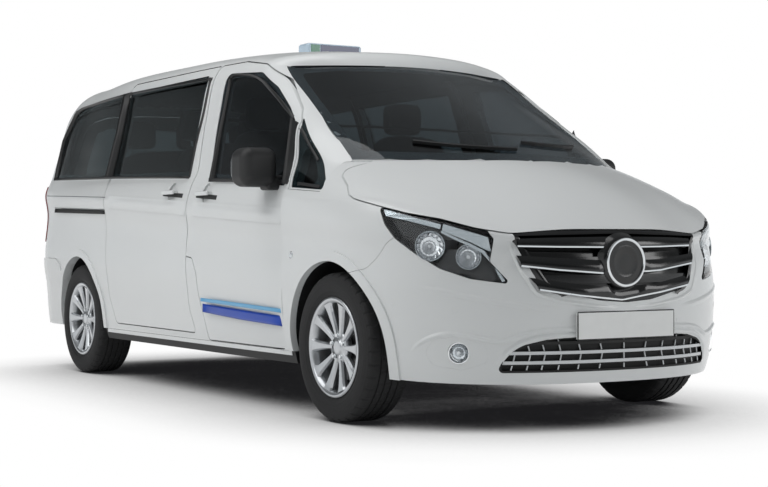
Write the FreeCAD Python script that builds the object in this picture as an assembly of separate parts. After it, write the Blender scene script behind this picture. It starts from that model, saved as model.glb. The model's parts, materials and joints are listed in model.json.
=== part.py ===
import FreeCAD, Part
import math
import os

# Driving sizes of the vehicle, in millimetres.
# The vehicle faces -Y, +Z is up, and the origin lies on the ground under the middle of its length.
WHEELBASE = 3200.0
BODY_LENGTH = 4895.0
FRONT_OVERHANG = 895.0
HALF_WIDTH = 964.0
ROOF_HEIGHT = 1845.0
FRONT_AXLE_Y = FRONT_OVERHANG - BODY_LENGTH / 2
REAR_AXLE_Y = FRONT_AXLE_Y + WHEELBASE

# Panel sizes.
DOOR_THICKNESS = 46.0
SHEET_THICKNESS = 24.0
GLASS_THICKNESS = 5.0
GLASS_SINK = 3.0
PANEL_GAP = 5.5
REAR_CORNER_RADIUS = 120.0
OVERRUN = 60.0


def vec(x, y, z):
    return FreeCAD.Vector(x, y, z)


def place(x_share, y_share, z_share):
    """A point from shares of the half width, of the wheelbase behind the front axle, and of the height."""
    return vec(x_share * HALF_WIDTH, FRONT_AXLE_Y + y_share * WHEELBASE, z_share * ROOF_HEIGHT)


# Outer surface of the cabin, from sill to roof.

# Each level of the cross-section: half width, height, and how fast the level climbs rearward.
CABIN_LEVEL_SHARES = [
    (0.9388, 0.1274, 0.0), (0.9595, 0.1680, 0.0), (0.9813, 0.2412, 0.0772), (0.9886, 0.2629, 0.0772),
    (0.9959, 0.3794, 0.0694), (0.9834, 0.4824, 0.0954), (0.9979, 0.5339, 0.0954), (0.9896, 0.5583, 0.0867),
    (0.9595, 0.6152, 0.0624), (0.9450, 0.6504, 0.0520), (0.9263, 0.6992, 0.0347), (0.9025, 0.7588, 0.0260),
    (0.8662, 0.8401, 0.0173), (0.8299, 0.9062, 0.0), (0.8060, 0.9279, 0.0), (0.7780, 0.9458, 0.0),
    (0.7365, 0.9615, 0.0), (0.6432, 0.9772, 0.0), (0.4357, 0.9924, 0.0), (0.2178, 0.9984, 0.0),
    (0.0, 1.0, 0.0),
]
# Where the cross-section above was taken, behind the front axle.
SECTION_Y_SHARE = 0.4688
# The first levels start on a plain upright edge, and the rest on the edge of the windscreen.
LOW_LEVEL_COUNT = 8
LOW_EDGE_Y_SHARE = 0.0156
LOW_EDGE_WIDTH_SHARE = 0.985
SCREEN_EDGE_SHARES = [
    (0.9180, 0.0281, 0.5881), (0.7801, 0.0447, 0.6396), (0.7666, 0.0891, 0.6911), (0.7469, 0.1506, 0.7588),
    (0.7220, 0.2250, 0.8374), (0.7054, 0.2812, 0.8997), (0.6929, 0.2953, 0.9160), (0.6795, 0.2975, 0.9179),
    (0.6535, 0.2969, 0.9192), (0.5602, 0.2891, 0.9214), (0.3942, 0.2703, 0.9236), (0.1971, 0.2562, 0.9252),
    (0.0, 0.2500, 0.9257),
]
# Stations from the front edge to the start of the rear corner, and how far the front edge pulls each one.
STATION_SHARES = [0.0, 0.02, 0.05, 0.10, 0.18, 0.30, 0.45, 0.62, 0.78, 0.90, 1.0]
EDGE_PULL_SHARES = [1.0, 0.42, 0.27, 0.15, 0.05, 0.0, 0.0, 0.0, 0.0, 0.0, 0.0]
# Half width and roof height along the body, as (place along the wheelbase, share).
PLAN_WIDTH_SHARES = [(-0.3, 0.985), (0.02, 0.988), (0.15, 0.994), (0.30, 0.998), (0.5, 1.0), (0.75, 1.0),
                     (0.95, 0.994), (1.08, 0.982), (1.25, 0.960)]
ROOF_RISE_SHARES = [(-0.3, -0.0150), (0.2969, -0.0108), (0.3625, -0.0076), (0.5219, 0.0016), (0.6875, 0.0065),
                    (0.8750, 0.0087), (1.0687, -0.0043), (1.2, -0.0244), (1.28, -0.0488)]
# Below the first height the sides don't follow the roof, and above the second they follow it in full.
RISE_START_SHARE = 0.84
RISE_FULL_SHARE = 0.96
# Rear end: how far the tail lies behind the front axle at a few heights.
TAIL_SHARES = [(0.0, 1.2437), (0.30, 1.2437), (0.45, 1.2406), (0.60, 1.2344), (0.75, 1.2219), (0.88, 1.2063),
               (0.95, 1.1969), (1.01, 1.1906)]
CORNER_ANGLES = [30.0, 55.0, 75.0, 90.0]
# How far the rear corner's outward direction leans up at each level, in degrees.
CORNER_TILTS = [0.0, 0.0, 0.0, 0.0, 0.0, 2.0, 3.0, 5.0, 8.0, 10.0, 13.0, 18.0, 25.0, 38.0, 44.0, 50.0, 58.0,
                70.0, 80.0, 86.0, 90.0]


def read_curve(pairs, at):
    """Smooth value through (place, value) pairs, by cubic pieces with matched slopes."""
    places = [pair[0] for pair in pairs]
    values = [pair[1] for pair in pairs]
    last = len(pairs) - 1
    if at <= places[0]:
        return values[0]
    if at >= places[last]:
        return values[last]
    index = max(i for i in range(last) if places[i] <= at)

    def slope(i):
        low = max(i - 1, 0)
        high = min(i + 1, last)
        return (values[high] - values[low]) / (places[high] - places[low])

    span = places[index + 1] - places[index]
    t = (at - places[index]) / span
    rise = values[index + 1] - values[index]
    start = slope(index) * span
    end = slope(index + 1) * span
    return values[index] + start * t + (3 * rise - 2 * start - end) * t**2 + (start + end - 2 * rise) * t**3


def cabin_section(y_share):
    """Left half of the cross-section at one place along the wheelbase, from sill to roof centre."""
    width = read_curve(PLAN_WIDTH_SHARES, y_share)
    rise = read_curve(ROOF_RISE_SHARES, y_share)
    points = []
    for x_share, z_share, climb in CABIN_LEVEL_SHARES:
        height = z_share + climb * (y_share - SECTION_Y_SHARE)
        roof_part = (z_share - RISE_START_SHARE) / (RISE_FULL_SHARE - RISE_START_SHARE)
        height += rise * min(max(roof_part, 0), 1)
        points.append(place(x_share * width, y_share, height))
    return points


def cabin_grid():
    """Rows of points over the whole cabin skin, from the right sill over the roof to the left sill."""
    rows = []
    for level, (x_share, z_share, climb) in enumerate(CABIN_LEVEL_SHARES):
        if level < LOW_LEVEL_COUNT:
            start_y = LOW_EDGE_Y_SHARE
        else:
            start_y = SCREEN_EDGE_SHARES[level - LOW_LEVEL_COUNT][1]
        tilt = math.radians(CORNER_TILTS[level])
        outward = vec(math.cos(tilt), 0, math.sin(tilt))
        tail_y = read_curve(TAIL_SHARES, z_share - outward.z * REAR_CORNER_RADIUS / ROOF_HEIGHT)
        corner_start = tail_y - REAR_CORNER_RADIUS / WHEELBASE
        if level < LOW_LEVEL_COUNT:
            edge = cabin_section(start_y)[level]
            edge.x *= LOW_EDGE_WIDTH_SHARE
        else:
            edge = place(*SCREEN_EDGE_SHARES[level - LOW_LEVEL_COUNT])
        pull = edge - cabin_section(start_y)[level]
        row = []
        for station, share in enumerate(STATION_SHARES):
            y_share = start_y + share * (corner_start - start_y)
            row.append(cabin_section(y_share)[level] + pull * EDGE_PULL_SHARES[station])
        for angle in CORNER_ANGLES:
            turn = math.radians(angle)
            y_share = corner_start + REAR_CORNER_RADIUS * math.sin(turn) / WHEELBASE
            section = cabin_section(y_share)
            row.append(section[level] - outward * (REAR_CORNER_RADIUS * (1 - math.cos(turn))))
        rows.append(row)
    mirrored = [[vec(-p.x, p.y, p.z) for p in row] for row in rows[:-1]]
    return mirrored + rows[::-1]


# Outer surface of the front end, from one front door round the nose to the other.

# Half width of each column on the nose, and the places of the side columns behind it.
NOSE_COLUMN_SHARES = [0.0, 0.27, 0.52, 0.69, 0.82, 0.905, 0.955, 0.985, 1.0]
SIDE_COLUMN_Y_SHARES = [0.0312, 0.0781, 0.1250, 0.1719]
NOSE_ROUNDNESS = 2.3
NOSE_START_Y_SHARE = -0.0312
# Lower rows: height on the nose, height on the side, place of the nose, half width on the side.
NOSE_ROW_SHARES = [
    (0.1111, 0.1274, -0.2712, 0.9388),
    (0.1463, 0.1680, -0.2750, 0.9627),
    (0.2060, 0.2276, -0.2791, 0.9813),
    (0.2710, 0.2981, -0.2797, 0.9917),
    (0.3360, 0.3794, -0.2766, 0.9959),
    (0.3902, 0.4444, -0.2712, 0.9855),
    (0.4336, 0.4878, -0.2631, 0.9969),
]
SIDE_BLEND_SHARES = [0.0, 0.0, 0.0, 0.05, 0.15, 0.30, 0.50, 0.70, 0.85, 1.0, 1.0, 1.0, 1.0]
# The row along the bonnet's front edge and over the headlamps, and the row at the windscreen's foot.
BONNET_EDGE_SHARES = [
    (0.0000, -0.2547, 0.4645), (0.2697, -0.2500, 0.4618), (0.5187, -0.2337, 0.4542), (0.6846, -0.2047, 0.4705),
    (0.8091, -0.1688, 0.4894), (0.8921, -0.1312, 0.5084), (0.9388, -0.0969, 0.5230), (0.9699, -0.0625, 0.5285),
    (0.9834, -0.0250, 0.5312), (0.9886, 0.0312, 0.5339), (0.9907, 0.0781, 0.5366), (0.9927, 0.1250, 0.5393),
    (0.9927, 0.1719, 0.5420),
]
SCREEN_FOOT_SHARES = [
    (0.0000, -0.0656, 0.6396), (0.2593, -0.0500, 0.6396), (0.4876, -0.0172, 0.6396), (0.6432, 0.0109, 0.6396),
    (0.7417, 0.0344, 0.6396), (0.7936, 0.0484, 0.6385), (0.8299, 0.0609, 0.6352), (0.8589, 0.0734, 0.6320),
    (0.8817, 0.0859, 0.6293), (0.9004, 0.1016, 0.6271), (0.9160, 0.1203, 0.6255), (0.9305, 0.1437, 0.6244),
    (0.9440, 0.1719, 0.6233),
]
# Rows between those two, and how far the bonnet swells above the straight line between them.
BONNET_ROW_SHARES = [0.12, 0.30, 0.52, 0.76]
BONNET_SWELL = 30.0
SIDE_SWELL = 10.0


def front_grid():
    """Rows of points over the front end, from the windscreen down, each from side to side round the nose."""
    rows = []
    for nose_z, side_z, nose_y, side_x in NOSE_ROW_SHARES:
        row = []
        for column, x_share in enumerate(NOSE_COLUMN_SHARES):
            reach = math.sqrt(max(1 - x_share**NOSE_ROUNDNESS, 0))
            y_share = NOSE_START_Y_SHARE + (nose_y - NOSE_START_Y_SHARE) * reach
            z_share = nose_z + (side_z - nose_z) * SIDE_BLEND_SHARES[column]
            row.append(place(x_share * side_x, y_share, z_share))
        for y_share in SIDE_COLUMN_Y_SHARES:
            row.append(place(side_x, y_share, side_z))
        rows.append(row)
    edge = [place(*shares) for shares in BONNET_EDGE_SHARES]
    foot = [place(*shares) for shares in SCREEN_FOOT_SHARES]
    rows.append(edge)
    for share in BONNET_ROW_SHARES:
        bow = 4 * share * (1 - share)
        row = []
        for low, high in zip(edge, foot):
            side = (low.x / HALF_WIDTH) ** 3
            lift = vec(0, -BONNET_SWELL / 2, BONNET_SWELL) * (1 - side) + vec(SIDE_SWELL, 0, SIDE_SWELL / 2) * side
            row.append(low + (high - low) * share + lift * bow)
        rows.append(row)
    rows.append(foot)
    return [[vec(-p.x, p.y, p.z) for p in row[:0:-1]] + row for row in rows[::-1]]


def grid_normals(grid):
    """Outward unit normals of a grid of points."""
    last_row = len(grid) - 1
    last_column = len(grid[0]) - 1
    normals = []
    for i, row in enumerate(grid):
        line = []
        for j in range(len(row)):
            across = grid[min(i + 1, last_row)][j] - grid[max(i - 1, 0)][j]
            along = grid[i][min(j + 1, last_column)] - grid[i][max(j - 1, 0)]
            line.append(across.cross(along).normalize())
        normals.append(line)
    return normals


def spacing(lines):
    """Shared parameters for lines of points, from the mean share of the way that each point has come."""
    totals = [0.0] * len(lines[0])
    for line in lines:
        way = [0.0]
        for before, after in zip(line, line[1:]):
            way.append(way[-1] + (after - before).Length)
        totals = [total + step / way[-1] for total, step in zip(totals, way)]
    return [total / totals[-1] for total in totals]


def spline_poles(points, parameters):
    """Poles, knots and multiplicities of the smooth curve through points at given parameters."""
    curve = Part.BSplineCurve()
    curve.interpolate(Points=points, Parameters=parameters)
    return curve.getPoles(), curve.getKnots(), curve.getMultiplicities()


def skin(grid, depth):
    """Smooth face through a grid of points moved inward by a depth."""
    normals = grid_normals(grid)
    moved = [[p - n * depth for p, n in zip(row, line)] for row, line in zip(grid, normals)]
    along = spacing(grid)
    across = spacing([list(column) for column in zip(*grid)])
    rows = [spline_poles(row, along) for row in moved]
    columns = [spline_poles(list(column), across) for column in zip(*[row[0] for row in rows])]
    poles = [list(line) for line in zip(*[column[0] for column in columns])]
    surface = Part.BSplineSurface()
    surface.buildFromPolesMultsKnots(poles, columns[0][2], rows[0][2], columns[0][1], rows[0][1],
                                     False, False, 3, 3)
    return surface


# Outer surface of the tail and of the windscreen.

TAIL_DOME = 13.0
# Rows of the tail from the bottom up: height, half width, and the share of the dome.
TAIL_ROW_SHARES = [
    (0.13, 0.780, 1.0), (0.25, 0.811, 1.0), (0.37, 0.826, 1.0), (0.49, 0.828, 1.0), (0.61, 0.832, 1.0),
    (0.73, 0.763, 0.95), (0.83, 0.720, 0.60), (0.91, 0.620, 0.05), (0.95, 0.600, 0.0),
]
TAIL_COLUMN_SHARES = [-1.05, -0.85, -0.60, -0.30, 0.0, 0.30, 0.60, 0.85, 1.05]
# Windscreen: its centre line from the foot up, and where its columns lie across it.
SCREEN_CENTRE_SHARES = [
    (-0.0656, 0.6396), (-0.0085, 0.6950), (0.0660, 0.7640), (0.1580, 0.8455), (0.2300, 0.9085), (0.2500, 0.9257),
]
SCREEN_COLUMN_SHARES = [0.0, 0.30, 0.55, 0.75, 0.90, 1.0]
SCREEN_SIDE_START = 1


def tail_grid():
    """Rows of points over the tail, from the bottom up, each from side to side."""
    rows = []
    for z_share, width_share, dome_share in TAIL_ROW_SHARES:
        tail_y = read_curve(TAIL_SHARES, z_share)
        row = []
        for column in TAIL_COLUMN_SHARES:
            dome = TAIL_DOME * dome_share * (1 - column**2)
            row.append(place(column * width_share, tail_y, z_share) + vec(0, dome, 0))
        rows.append(row)
    return rows


def sweep_back(line, x_share):
    """How far back a line across the vehicle has come at one width, as a share of its whole sweep."""
    low = line[0][1]
    high = read_curve([(a, b) for a, b, c in line], line[-1][0])
    return (read_curve([(a, b) for a, b, c in line], x_share) - low) / (high - low)


def screen_grid():
    """Rows of points over the windscreen, from the roof down to its foot, each from side to side."""
    edge = SCREEN_EDGE_SHARES[SCREEN_SIDE_START:SCREEN_SIDE_START + len(SCREEN_CENTRE_SHARES)]
    foot = [shares for shares in SCREEN_FOOT_SHARES if shares[0] < edge[0][0]] + [edge[0]]
    roof = [edge[-1]] + SCREEN_EDGE_SHARES[SCREEN_SIDE_START + len(SCREEN_CENTRE_SHARES):]
    roof = roof[::-1]
    rows = []
    for (side_x, side_y, side_z), (middle_y, middle_z) in zip(edge, SCREEN_CENTRE_SHARES):
        rise = (side_z - edge[0][2]) / (edge[-1][2] - edge[0][2])
        row = []
        for column in SCREEN_COLUMN_SHARES:
            low = sweep_back(foot, column * foot[-1][0])
            high = sweep_back(roof, column * roof[-1][0])
            back = low + (high - low) * rise
            row.append(place(column * side_x, middle_y + (side_y - middle_y) * back,
                             middle_z + (side_z - middle_z) * column**2))
        rows.append([vec(-p.x, p.y, p.z) for p in row[:0:-1]] + row)
    return rows[::-1]


# Solids from skins and outlines.

SEAT_GAP = 0.3
TINY = 0.01
CUT_PROUD = 20.0


def slab(grid, outer, inner):
    """Closed solid between two depths below a grid's skin."""
    skins = [skin(grid, outer), skin(grid, inner)]
    faces = [surface.toShape() for surface in skins]
    sides = []
    for reader in ("uIso", "vIso"):
        for end in (0.0, 1.0):
            low, high = [getattr(surface, reader)(end).toShape() for surface in skins]
            sides.append(Part.makeRuledSurface(low, high))
    shell = Part.makeCompound(faces + sides)
    shell.sewShape()
    solid = Part.makeSolid(Part.Shell(shell.Faces))
    if solid.Volume < 0:
        solid.reverse()
    return solid


def turn_side(points):
    """Which way round a closed outline runs: 1 for anticlockwise, -1 for clockwise."""
    area = 0.0
    for (a, b, r), (c, d, q) in zip(points, points[1:] + points[:1]):
        area += a * d - c * b
    return 1 if area > 0 else -1


def grow(points, distance):
    """Outline moved outward by a distance, with its corners' radii changed to suit."""
    way = turn_side(points)
    grown = []
    count = len(points)
    for index, (a, b, radius) in enumerate(points):
        before = points[index - 1]
        after = points[(index + 1) % count]
        one = vec(a - before[0], b - before[1], 0).normalize()
        two = vec(after[0] - a, after[1] - b, 0).normalize()
        normal = (vec(one.y, -one.x, 0) + vec(two.y, -two.x, 0)) * way
        cross = (one.x * two.y - one.y * two.x) * way
        move = normal * (distance / max(1 + one.dot(two), 0.2))
        change = distance if cross > 0 else -distance
        grown.append((a + move.x, b + move.y, max(radius + change, 0)))
    return grown


def rounded_edges(points):
    """Straight and round edges in the XY plane along a closed outline of (a, b, corner radius) points."""
    count = len(points)
    starts = []
    ends = []
    corners = []
    for index, (a, b, radius) in enumerate(points):
        corner = vec(a, b, 0)
        before = vec(points[index - 1][0], points[index - 1][1], 0) - corner
        after = vec(points[(index + 1) % count][0], points[(index + 1) % count][1], 0) - corner
        half = before.getAngle(after) / 2
        reach = min(radius / math.tan(half), before.Length * 0.45, after.Length * 0.45)
        reach = reach if reach > TINY else 0
        before.normalize()
        after.normalize()
        starts.append(corner + before * reach)
        ends.append(corner + after * reach)
        if reach > 0:
            fitted = reach * math.tan(half)
            middle = (before + after).normalize()
            centre = corner + middle * (fitted / math.sin(half))
            corners.append(Part.Arc(starts[-1], centre - middle * fitted, ends[-1]).toShape())
        else:
            corners.append(None)
    loop = []
    for index, arc in enumerate(corners):
        if arc:
            loop.append(arc)
        end = starts[(index + 1) % count]
        if ends[index].distanceToPoint(end) > TINY:
            loop.append(Part.makeLine(ends[index], end))
    return loop


# The model directions to the right and up in each view of an outline. Depth runs towards the viewer.
VIEWS = {
    "side": (vec(0, 1, 0), vec(0, 0, 1)),
    "front": (vec(1, 0, 0), vec(0, 0, 1)),
    "top": (vec(1, 0, 0), vec(0, 1, 0)),
    "corner": (vec(1, 1, 0).normalize(), vec(0, 0, 1)),
}


def prism(points, view, low, high):
    """Solid of an outline seen in one view, from one depth to another."""
    right, up = VIEWS[view]
    deep = right.cross(up)
    face = Part.Face(Part.Wire(rounded_edges(points)))
    turn = FreeCAD.Matrix(right.x, up.x, deep.x, deep.x * low, right.y, up.y, deep.y, deep.y * low,
                          right.z, up.z, deep.z, deep.z * low, 0, 0, 0, 1)
    face.Placement = FreeCAD.Placement(turn)
    return face.extrude(deep * (high - low))


def side_outline(shares):
    return [(FRONT_AXLE_Y + a * WHEELBASE, b * ROOF_HEIGHT, radius * WHEELBASE) for a, b, radius in shares]


def front_outline(shares):
    """Whole outline from its left half, given from the top of the middle round to the bottom."""
    half = [(a * HALF_WIDTH, b * ROOF_HEIGHT, radius * HALF_WIDTH) for a, b, radius in shares]
    return half + [(-a, b, radius) for a, b, radius in half[::-1] if a > 0]


def corner_outline(shares):
    """Outline seen at 45 degrees, across the left front corner, with its middle line at the front axle."""
    middle = FRONT_AXLE_Y / math.sqrt(2)
    return [(middle + a * HALF_WIDTH, b * ROOF_HEIGHT, radius * HALF_WIDTH) for a, b, radius in shares]


def side_prism(points, inner_share=0.30):
    """Solid of a side view outline on the left of the vehicle, from inside it out past its skin."""
    return prism(points, "side", HALF_WIDTH * inner_share, HALF_WIDTH + OVERRUN)


def across_prism(points):
    """Solid of a side view outline right across the vehicle."""
    return prism(points, "side", -HALF_WIDTH - OVERRUN, HALF_WIDTH + OVERRUN)


def nose_prism(points):
    return prism(points, "front", -FRONT_AXLE_Y, BODY_LENGTH)


def nose_opening(points):
    """Solid of an outline seen from the front, through the nose and the cabin's front half."""
    return prism(points, "front", 0, BODY_LENGTH)


def tail_prism(points):
    return prism(points, "front", -BODY_LENGTH, -REAR_AXLE_Y)


def corner_prism(points):
    middle = -FRONT_AXLE_Y / math.sqrt(2)
    low_share = 0.55
    high_share = 1.60
    return prism(points, "corner", middle + low_share * HALF_WIDTH, middle + high_share * HALF_WIDTH)


def mirrored(shape):
    return shape.mirror(vec(0, 0, 0), vec(1, 0, 0))


def pair(shape):
    """A shape with its mirror image on the other side of the vehicle."""
    return Part.makeCompound(shape.Solids + mirrored(shape).Solids)


def box(x_low, x_high, y_low, y_high, z_low, z_high):
    return Part.makeBox(x_high - x_low, y_high - y_low, z_high - z_low, vec(x_low, y_low, z_low))


def share_box(shares, gap=0):
    """Box from the shares of its low and high width, place and height, grown by a gap all round."""
    low = place(shares[0], shares[2], shares[4])
    high = place(shares[1], shares[3], shares[5])
    return box(low.x - gap, high.x + gap, low.y - gap, high.y + gap, low.z - gap, high.z + gap)


def rod(start, end, radius):
    way = end - start
    return Part.makeCylinder(radius, way.Length, start, way)


def soften(shape, radius):
    """Round all edges of a convex solid."""
    return shape.makeFillet(radius, shape.Edges)


def joined(shapes):
    whole = shapes[0].fuse(shapes[1:]) if len(shapes) > 1 else shapes[0]
    return whole.removeSplitter()


def save(name, *shapes):
    solids = [solid for shape in shapes for solid in shape.Solids]
    whole = solids[0] if len(solids) == 1 else Part.makeCompound(solids)
    whole.exportStep("parts/" + name + ".step")


def largest(shape, count=1):
    """The biggest solids of a cut, without slivers."""
    solids = sorted(shape.Solids, key=lambda solid: solid.Volume, reverse=True)[:count]
    return solids[0] if count == 1 else Part.makeCompound(solids)


# Outlines of the panels in the side view: place along the wheelbase, height, and corner radius.

FRONT_DOOR_SHARES = [
    (0.1460, 0.1630, 0.012), (0.1420, 0.3200, 0.1), (0.1450, 0.4750, 0.05), (0.1425, 0.5400, 0.03),
    (0.1360, 0.5780, 0.01), (0.1660, 0.7480, 0.01), (0.1880, 0.7840, 0.02), (0.2620, 0.8740, 0.06),
    (0.3250, 0.9250, 0.05), (0.4000, 0.9440, 0.05), (0.4795, 0.9440, 0.006), (0.4612, 0.6400, 0.02),
    (0.4770, 0.6000, 0.02), (0.4800, 0.5200, 0.05), (0.4880, 0.4350, 0.05), (0.4850, 0.3960, 0.003),
    (0.4600, 0.3930, 0.015), (0.4400, 0.3500, 0.04), (0.4280, 0.2600, 0.05), (0.4150, 0.1630, 0.006),
]
SLIDING_DOOR_SHARES = [
    (0.4640, 0.1790, 0.006), (0.4780, 0.2400, 0.03), (0.4760, 0.3000, 0.04), (0.4902, 0.4350, 0.05),
    (0.4822, 0.5200, 0.05), (0.4792, 0.6000, 0.02), (0.4634, 0.6400, 0.02), (0.4835, 0.9440, 0.006),
    (0.8530, 0.9460, 0.012), (0.8440, 0.8000, 0.06), (0.8440, 0.7400, 0.05), (0.8530, 0.6250, 0.03),
    (0.8560, 0.4900, 0.05), (0.8350, 0.3200, 0.06), (0.8380, 0.2600, 0.03), (0.8160, 0.1810, 0.012),
]
FRONT_PANE_SHARES = [
    (0.1490, 0.5790, 0.004), (0.1780, 0.7500, 0.006), (0.2070, 0.7900, 0.03), (0.2600, 0.8520, 0.05),
    (0.3200, 0.9020, 0.04), (0.4330, 0.9150, 0.012), (0.4115, 0.6135, 0.006),
]
QUARTER_LIGHT_SHARES = [
    (0.0360, 0.5630, 0.005), (0.0410, 0.5890, 0.006), (0.1740, 0.7660, 0.004), (0.1590, 0.7350, 0.01),
    (0.1290, 0.5740, 0.003),
]
QUARTER_HOLE_SHARES = [(0.0520, 0.5760, 0.006), (0.1460, 0.7050, 0.012), (0.1220, 0.5850, 0.006)]
SLIDING_PANE_SHARES = [
    (0.4890, 0.6245, 0.006), (0.5010, 0.9205, 0.012), (0.8460, 0.9190, 0.010), (0.8400, 0.8000, 0.05),
    (0.8400, 0.7400, 0.05), (0.8475, 0.6400, 0.006),
]
REAR_PANE_SHARES = [
    (0.8600, 0.6410, 0.004), (0.8520, 0.7400, 0.05), (0.8520, 0.8000, 0.05), (0.8610, 0.9190, 0.006),
    (1.0000, 0.9140, 0.08), (1.1100, 0.8980, 0.05), (1.1650, 0.8200, 0.05), (1.1880, 0.7100, 0.03),
    (1.1880, 0.6620, 0.008),
]
BONNET_SHARES = [
    (-0.3438, 0.4650, 0.0), (-0.2500, 0.4640, 0.01), (-0.2337, 0.4542, 0.01),
    (-0.2047, 0.4705, 0.01), (-0.1688, 0.4894, 0.05), (-0.1312, 0.5084, 0.05),
    (-0.0969, 0.5230, 0.05), (-0.0547, 0.5388, 0.02), (-0.0391, 0.5480, 0.01),
    (-0.0219, 0.5707, 0.02), (0.0094, 0.5962, 0.01), (0.0206, 0.6130, 0.006),
    (0.0141, 0.6314, 0.004), (0.0406, 0.6504, 0.0), (0.0406, 0.8672, 0.0), (-0.3438, 0.8672, 0.0),
]
FENDER_SHARES = [
    (-0.1406, 0.6504, 0.0), (0.0125, 0.6504, 0.0), (0.0125, 0.6331, 0.0), (0.0469, 0.6331, 0.0),
    (0.0337, 0.5827, 0.01), (0.0312, 0.5572, 0.01), (0.1937, 0.5762, 0.0), (0.1937, 0.1599, 0.0),
    (-0.0094, 0.1599, 0.0), (-0.0312, 0.3686, 0.0), (-0.0606, 0.3637, 0.02), (-0.0903, 0.3740, 0.02),
    (-0.1044, 0.3951, 0.03), (-0.1219, 0.4336, 0.03), (-0.1406, 0.4553, 0.01),
]
NOSE_ZONE_SHARES = [
    (-0.3438, 0.0813, 0.0), (-0.3438, 0.5312, 0.0), (-0.0625, 0.5312, 0.0), (-0.0062, 0.3252, 0.0),
    (-0.0062, 0.0813, 0.0),
]
REAR_BUMPER_SHARES = [
    (1.0625, 0.1518, 0.0), (1.0938, 0.3035, 0.0), (1.1062, 0.3577, 0.02), (1.1250, 0.3794, 0.02),
    (1.1875, 0.3821, 0.0), (1.3125, 0.3821, 0.0), (1.3125, 0.1518, 0.0),
]
TAIL_LAMP_SHARES = [
    (1.2188, 0.4390, 0.01), (1.2078, 0.5366, 0.03), (1.2087, 0.6341, 0.008), (1.3125, 0.6450, 0.0),
    (1.3125, 0.4390, 0.0),
]
SLIDE_SLOT_SHARES = [
    (0.8512, 0.5294, 0.0), (0.8512, 0.5430, 0.003), (1.1475, 0.5600, 0.003), (1.1475, 0.5464, 0.003),
]
SLOT_DEPTH = 10.0
FLAP_PANEL_SHARES = [
    (0.4180, 0.1597, 0.0), (0.4430, 0.3500, 0.0), (0.4640, 0.3960, 0.0), (0.4850, 0.3990, 0.0),
    (0.4860, 0.3700, 0.0), (0.4740, 0.3000, 0.0), (0.4620, 0.1597, 0.0),
]
PILLAR_SHARES = [
    (0.4638, 0.2295, 0.0), (0.4750, 0.4350, 0.0), (0.4640, 0.6000, 0.0), (0.4480, 0.6400, 0.0),
    (0.4670, 0.9600, 0.0), (0.4950, 0.9600, 0.0), (0.4760, 0.6400, 0.0), (0.4920, 0.6000, 0.0),
    (0.5030, 0.4350, 0.0), (0.4918, 0.2295, 0.0),
]
PILLAR_TOP_SHARES = [
    (0.4670, 0.9510, 0.0), (0.4670, 0.9640, 0.0), (0.4950, 0.9640, 0.0), (0.4950, 0.9510, 0.0),
]
DOOR_PAD_SHARES = [
    [(0.4770, 0.42, 0.0), (0.4770, 0.44, 0.0), (0.4980, 0.44, 0.0), (0.4980, 0.42, 0.0)],
    [(0.4850, 0.22, 0.0), (0.4850, 0.24, 0.0), (0.4950, 0.24, 0.0), (0.4950, 0.22, 0.0)],
]

# Outlines seen from the front or the rear: half width, height, and corner radius.

GRILLE_SHARES = [
    (0.0, 0.4623, 0.0), (0.5176, 0.4564, 0.01), (0.5062, 0.4325, 0.02), (0.4772, 0.3864, 0.05),
    (0.3911, 0.3263, 0.12), (0.1452, 0.2997, 0.2), (0.0, 0.2943, 0.2),
]
INTAKE_SHARES = [
    (0.0, 0.2233, 0.0), (0.3631, 0.2179, 0.08), (0.4876, 0.2027, 0.03), (0.5747, 0.1827, 0.01),
    (0.5861, 0.1382, 0.02), (0.0, 0.1382, 0.0),
]
TAILGATE_SHARES = [
    (0.0, 0.8970, 0.0), (0.2593, 0.8954, 0.3), (0.5187, 0.8862, 0.2), (0.6328, 0.8645, 0.08),
    (0.6795, 0.8293, 0.1), (0.7158, 0.7588, 0.3), (0.7552, 0.6775, 0.3), (0.7884, 0.5962, 0.2),
    (0.8039, 0.5149, 0.2), (0.8008, 0.3881, 0.03), (0.0, 0.3881, 0.0),
]
REAR_WINDOW_SHARES = [
    (0.0, 0.8672, 0.0), (0.5187, 0.8618, 0.05), (0.6224, 0.8374, 0.05), (0.6795, 0.7209, 0.2),
    (0.7002, 0.6341, 0.04), (0.0, 0.6233, 0.0),
]
SCREEN_OPENING_SHARES = [
    (0.0, 0.9080, 0.0), (0.4502, 0.9050, 0.1), (0.6400, 0.8940, 0.04), (0.7261, 0.6620, 0.04),
    (0.4004, 0.6560, 0.3), (0.0, 0.6560, 0.0),
]

# Outlines seen across the front corner at 45 degrees.

HEADLAMP_SHARES = [
    (0.4056, 0.5154, 0.01), (0.3299, 0.5057, 0.05), (0.1224, 0.4867, 0.05), (-0.0830, 0.4585, 0.01),
    (-0.1079, 0.4417, 0.01), (-0.0944, 0.3897, 0.02), (-0.1836, 0.3404, 0.008),
    (-0.0156, 0.3523, 0.08), (0.1172, 0.3751, 0.10), (0.2324, 0.4092, 0.10), (0.3268, 0.4439, 0.05),
    (0.3755, 0.4759, 0.05),
]
FOG_SHARES = [
    (-0.0923, 0.1626, 0.03), (-0.0830, 0.2016, 0.03), (0.0311, 0.2206, 0.06),
    (0.1452, 0.2141, 0.05), (0.1867, 0.1843, 0.03), (0.1556, 0.1545, 0.05), (0.0207, 0.1442, 0.06),
]


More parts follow.
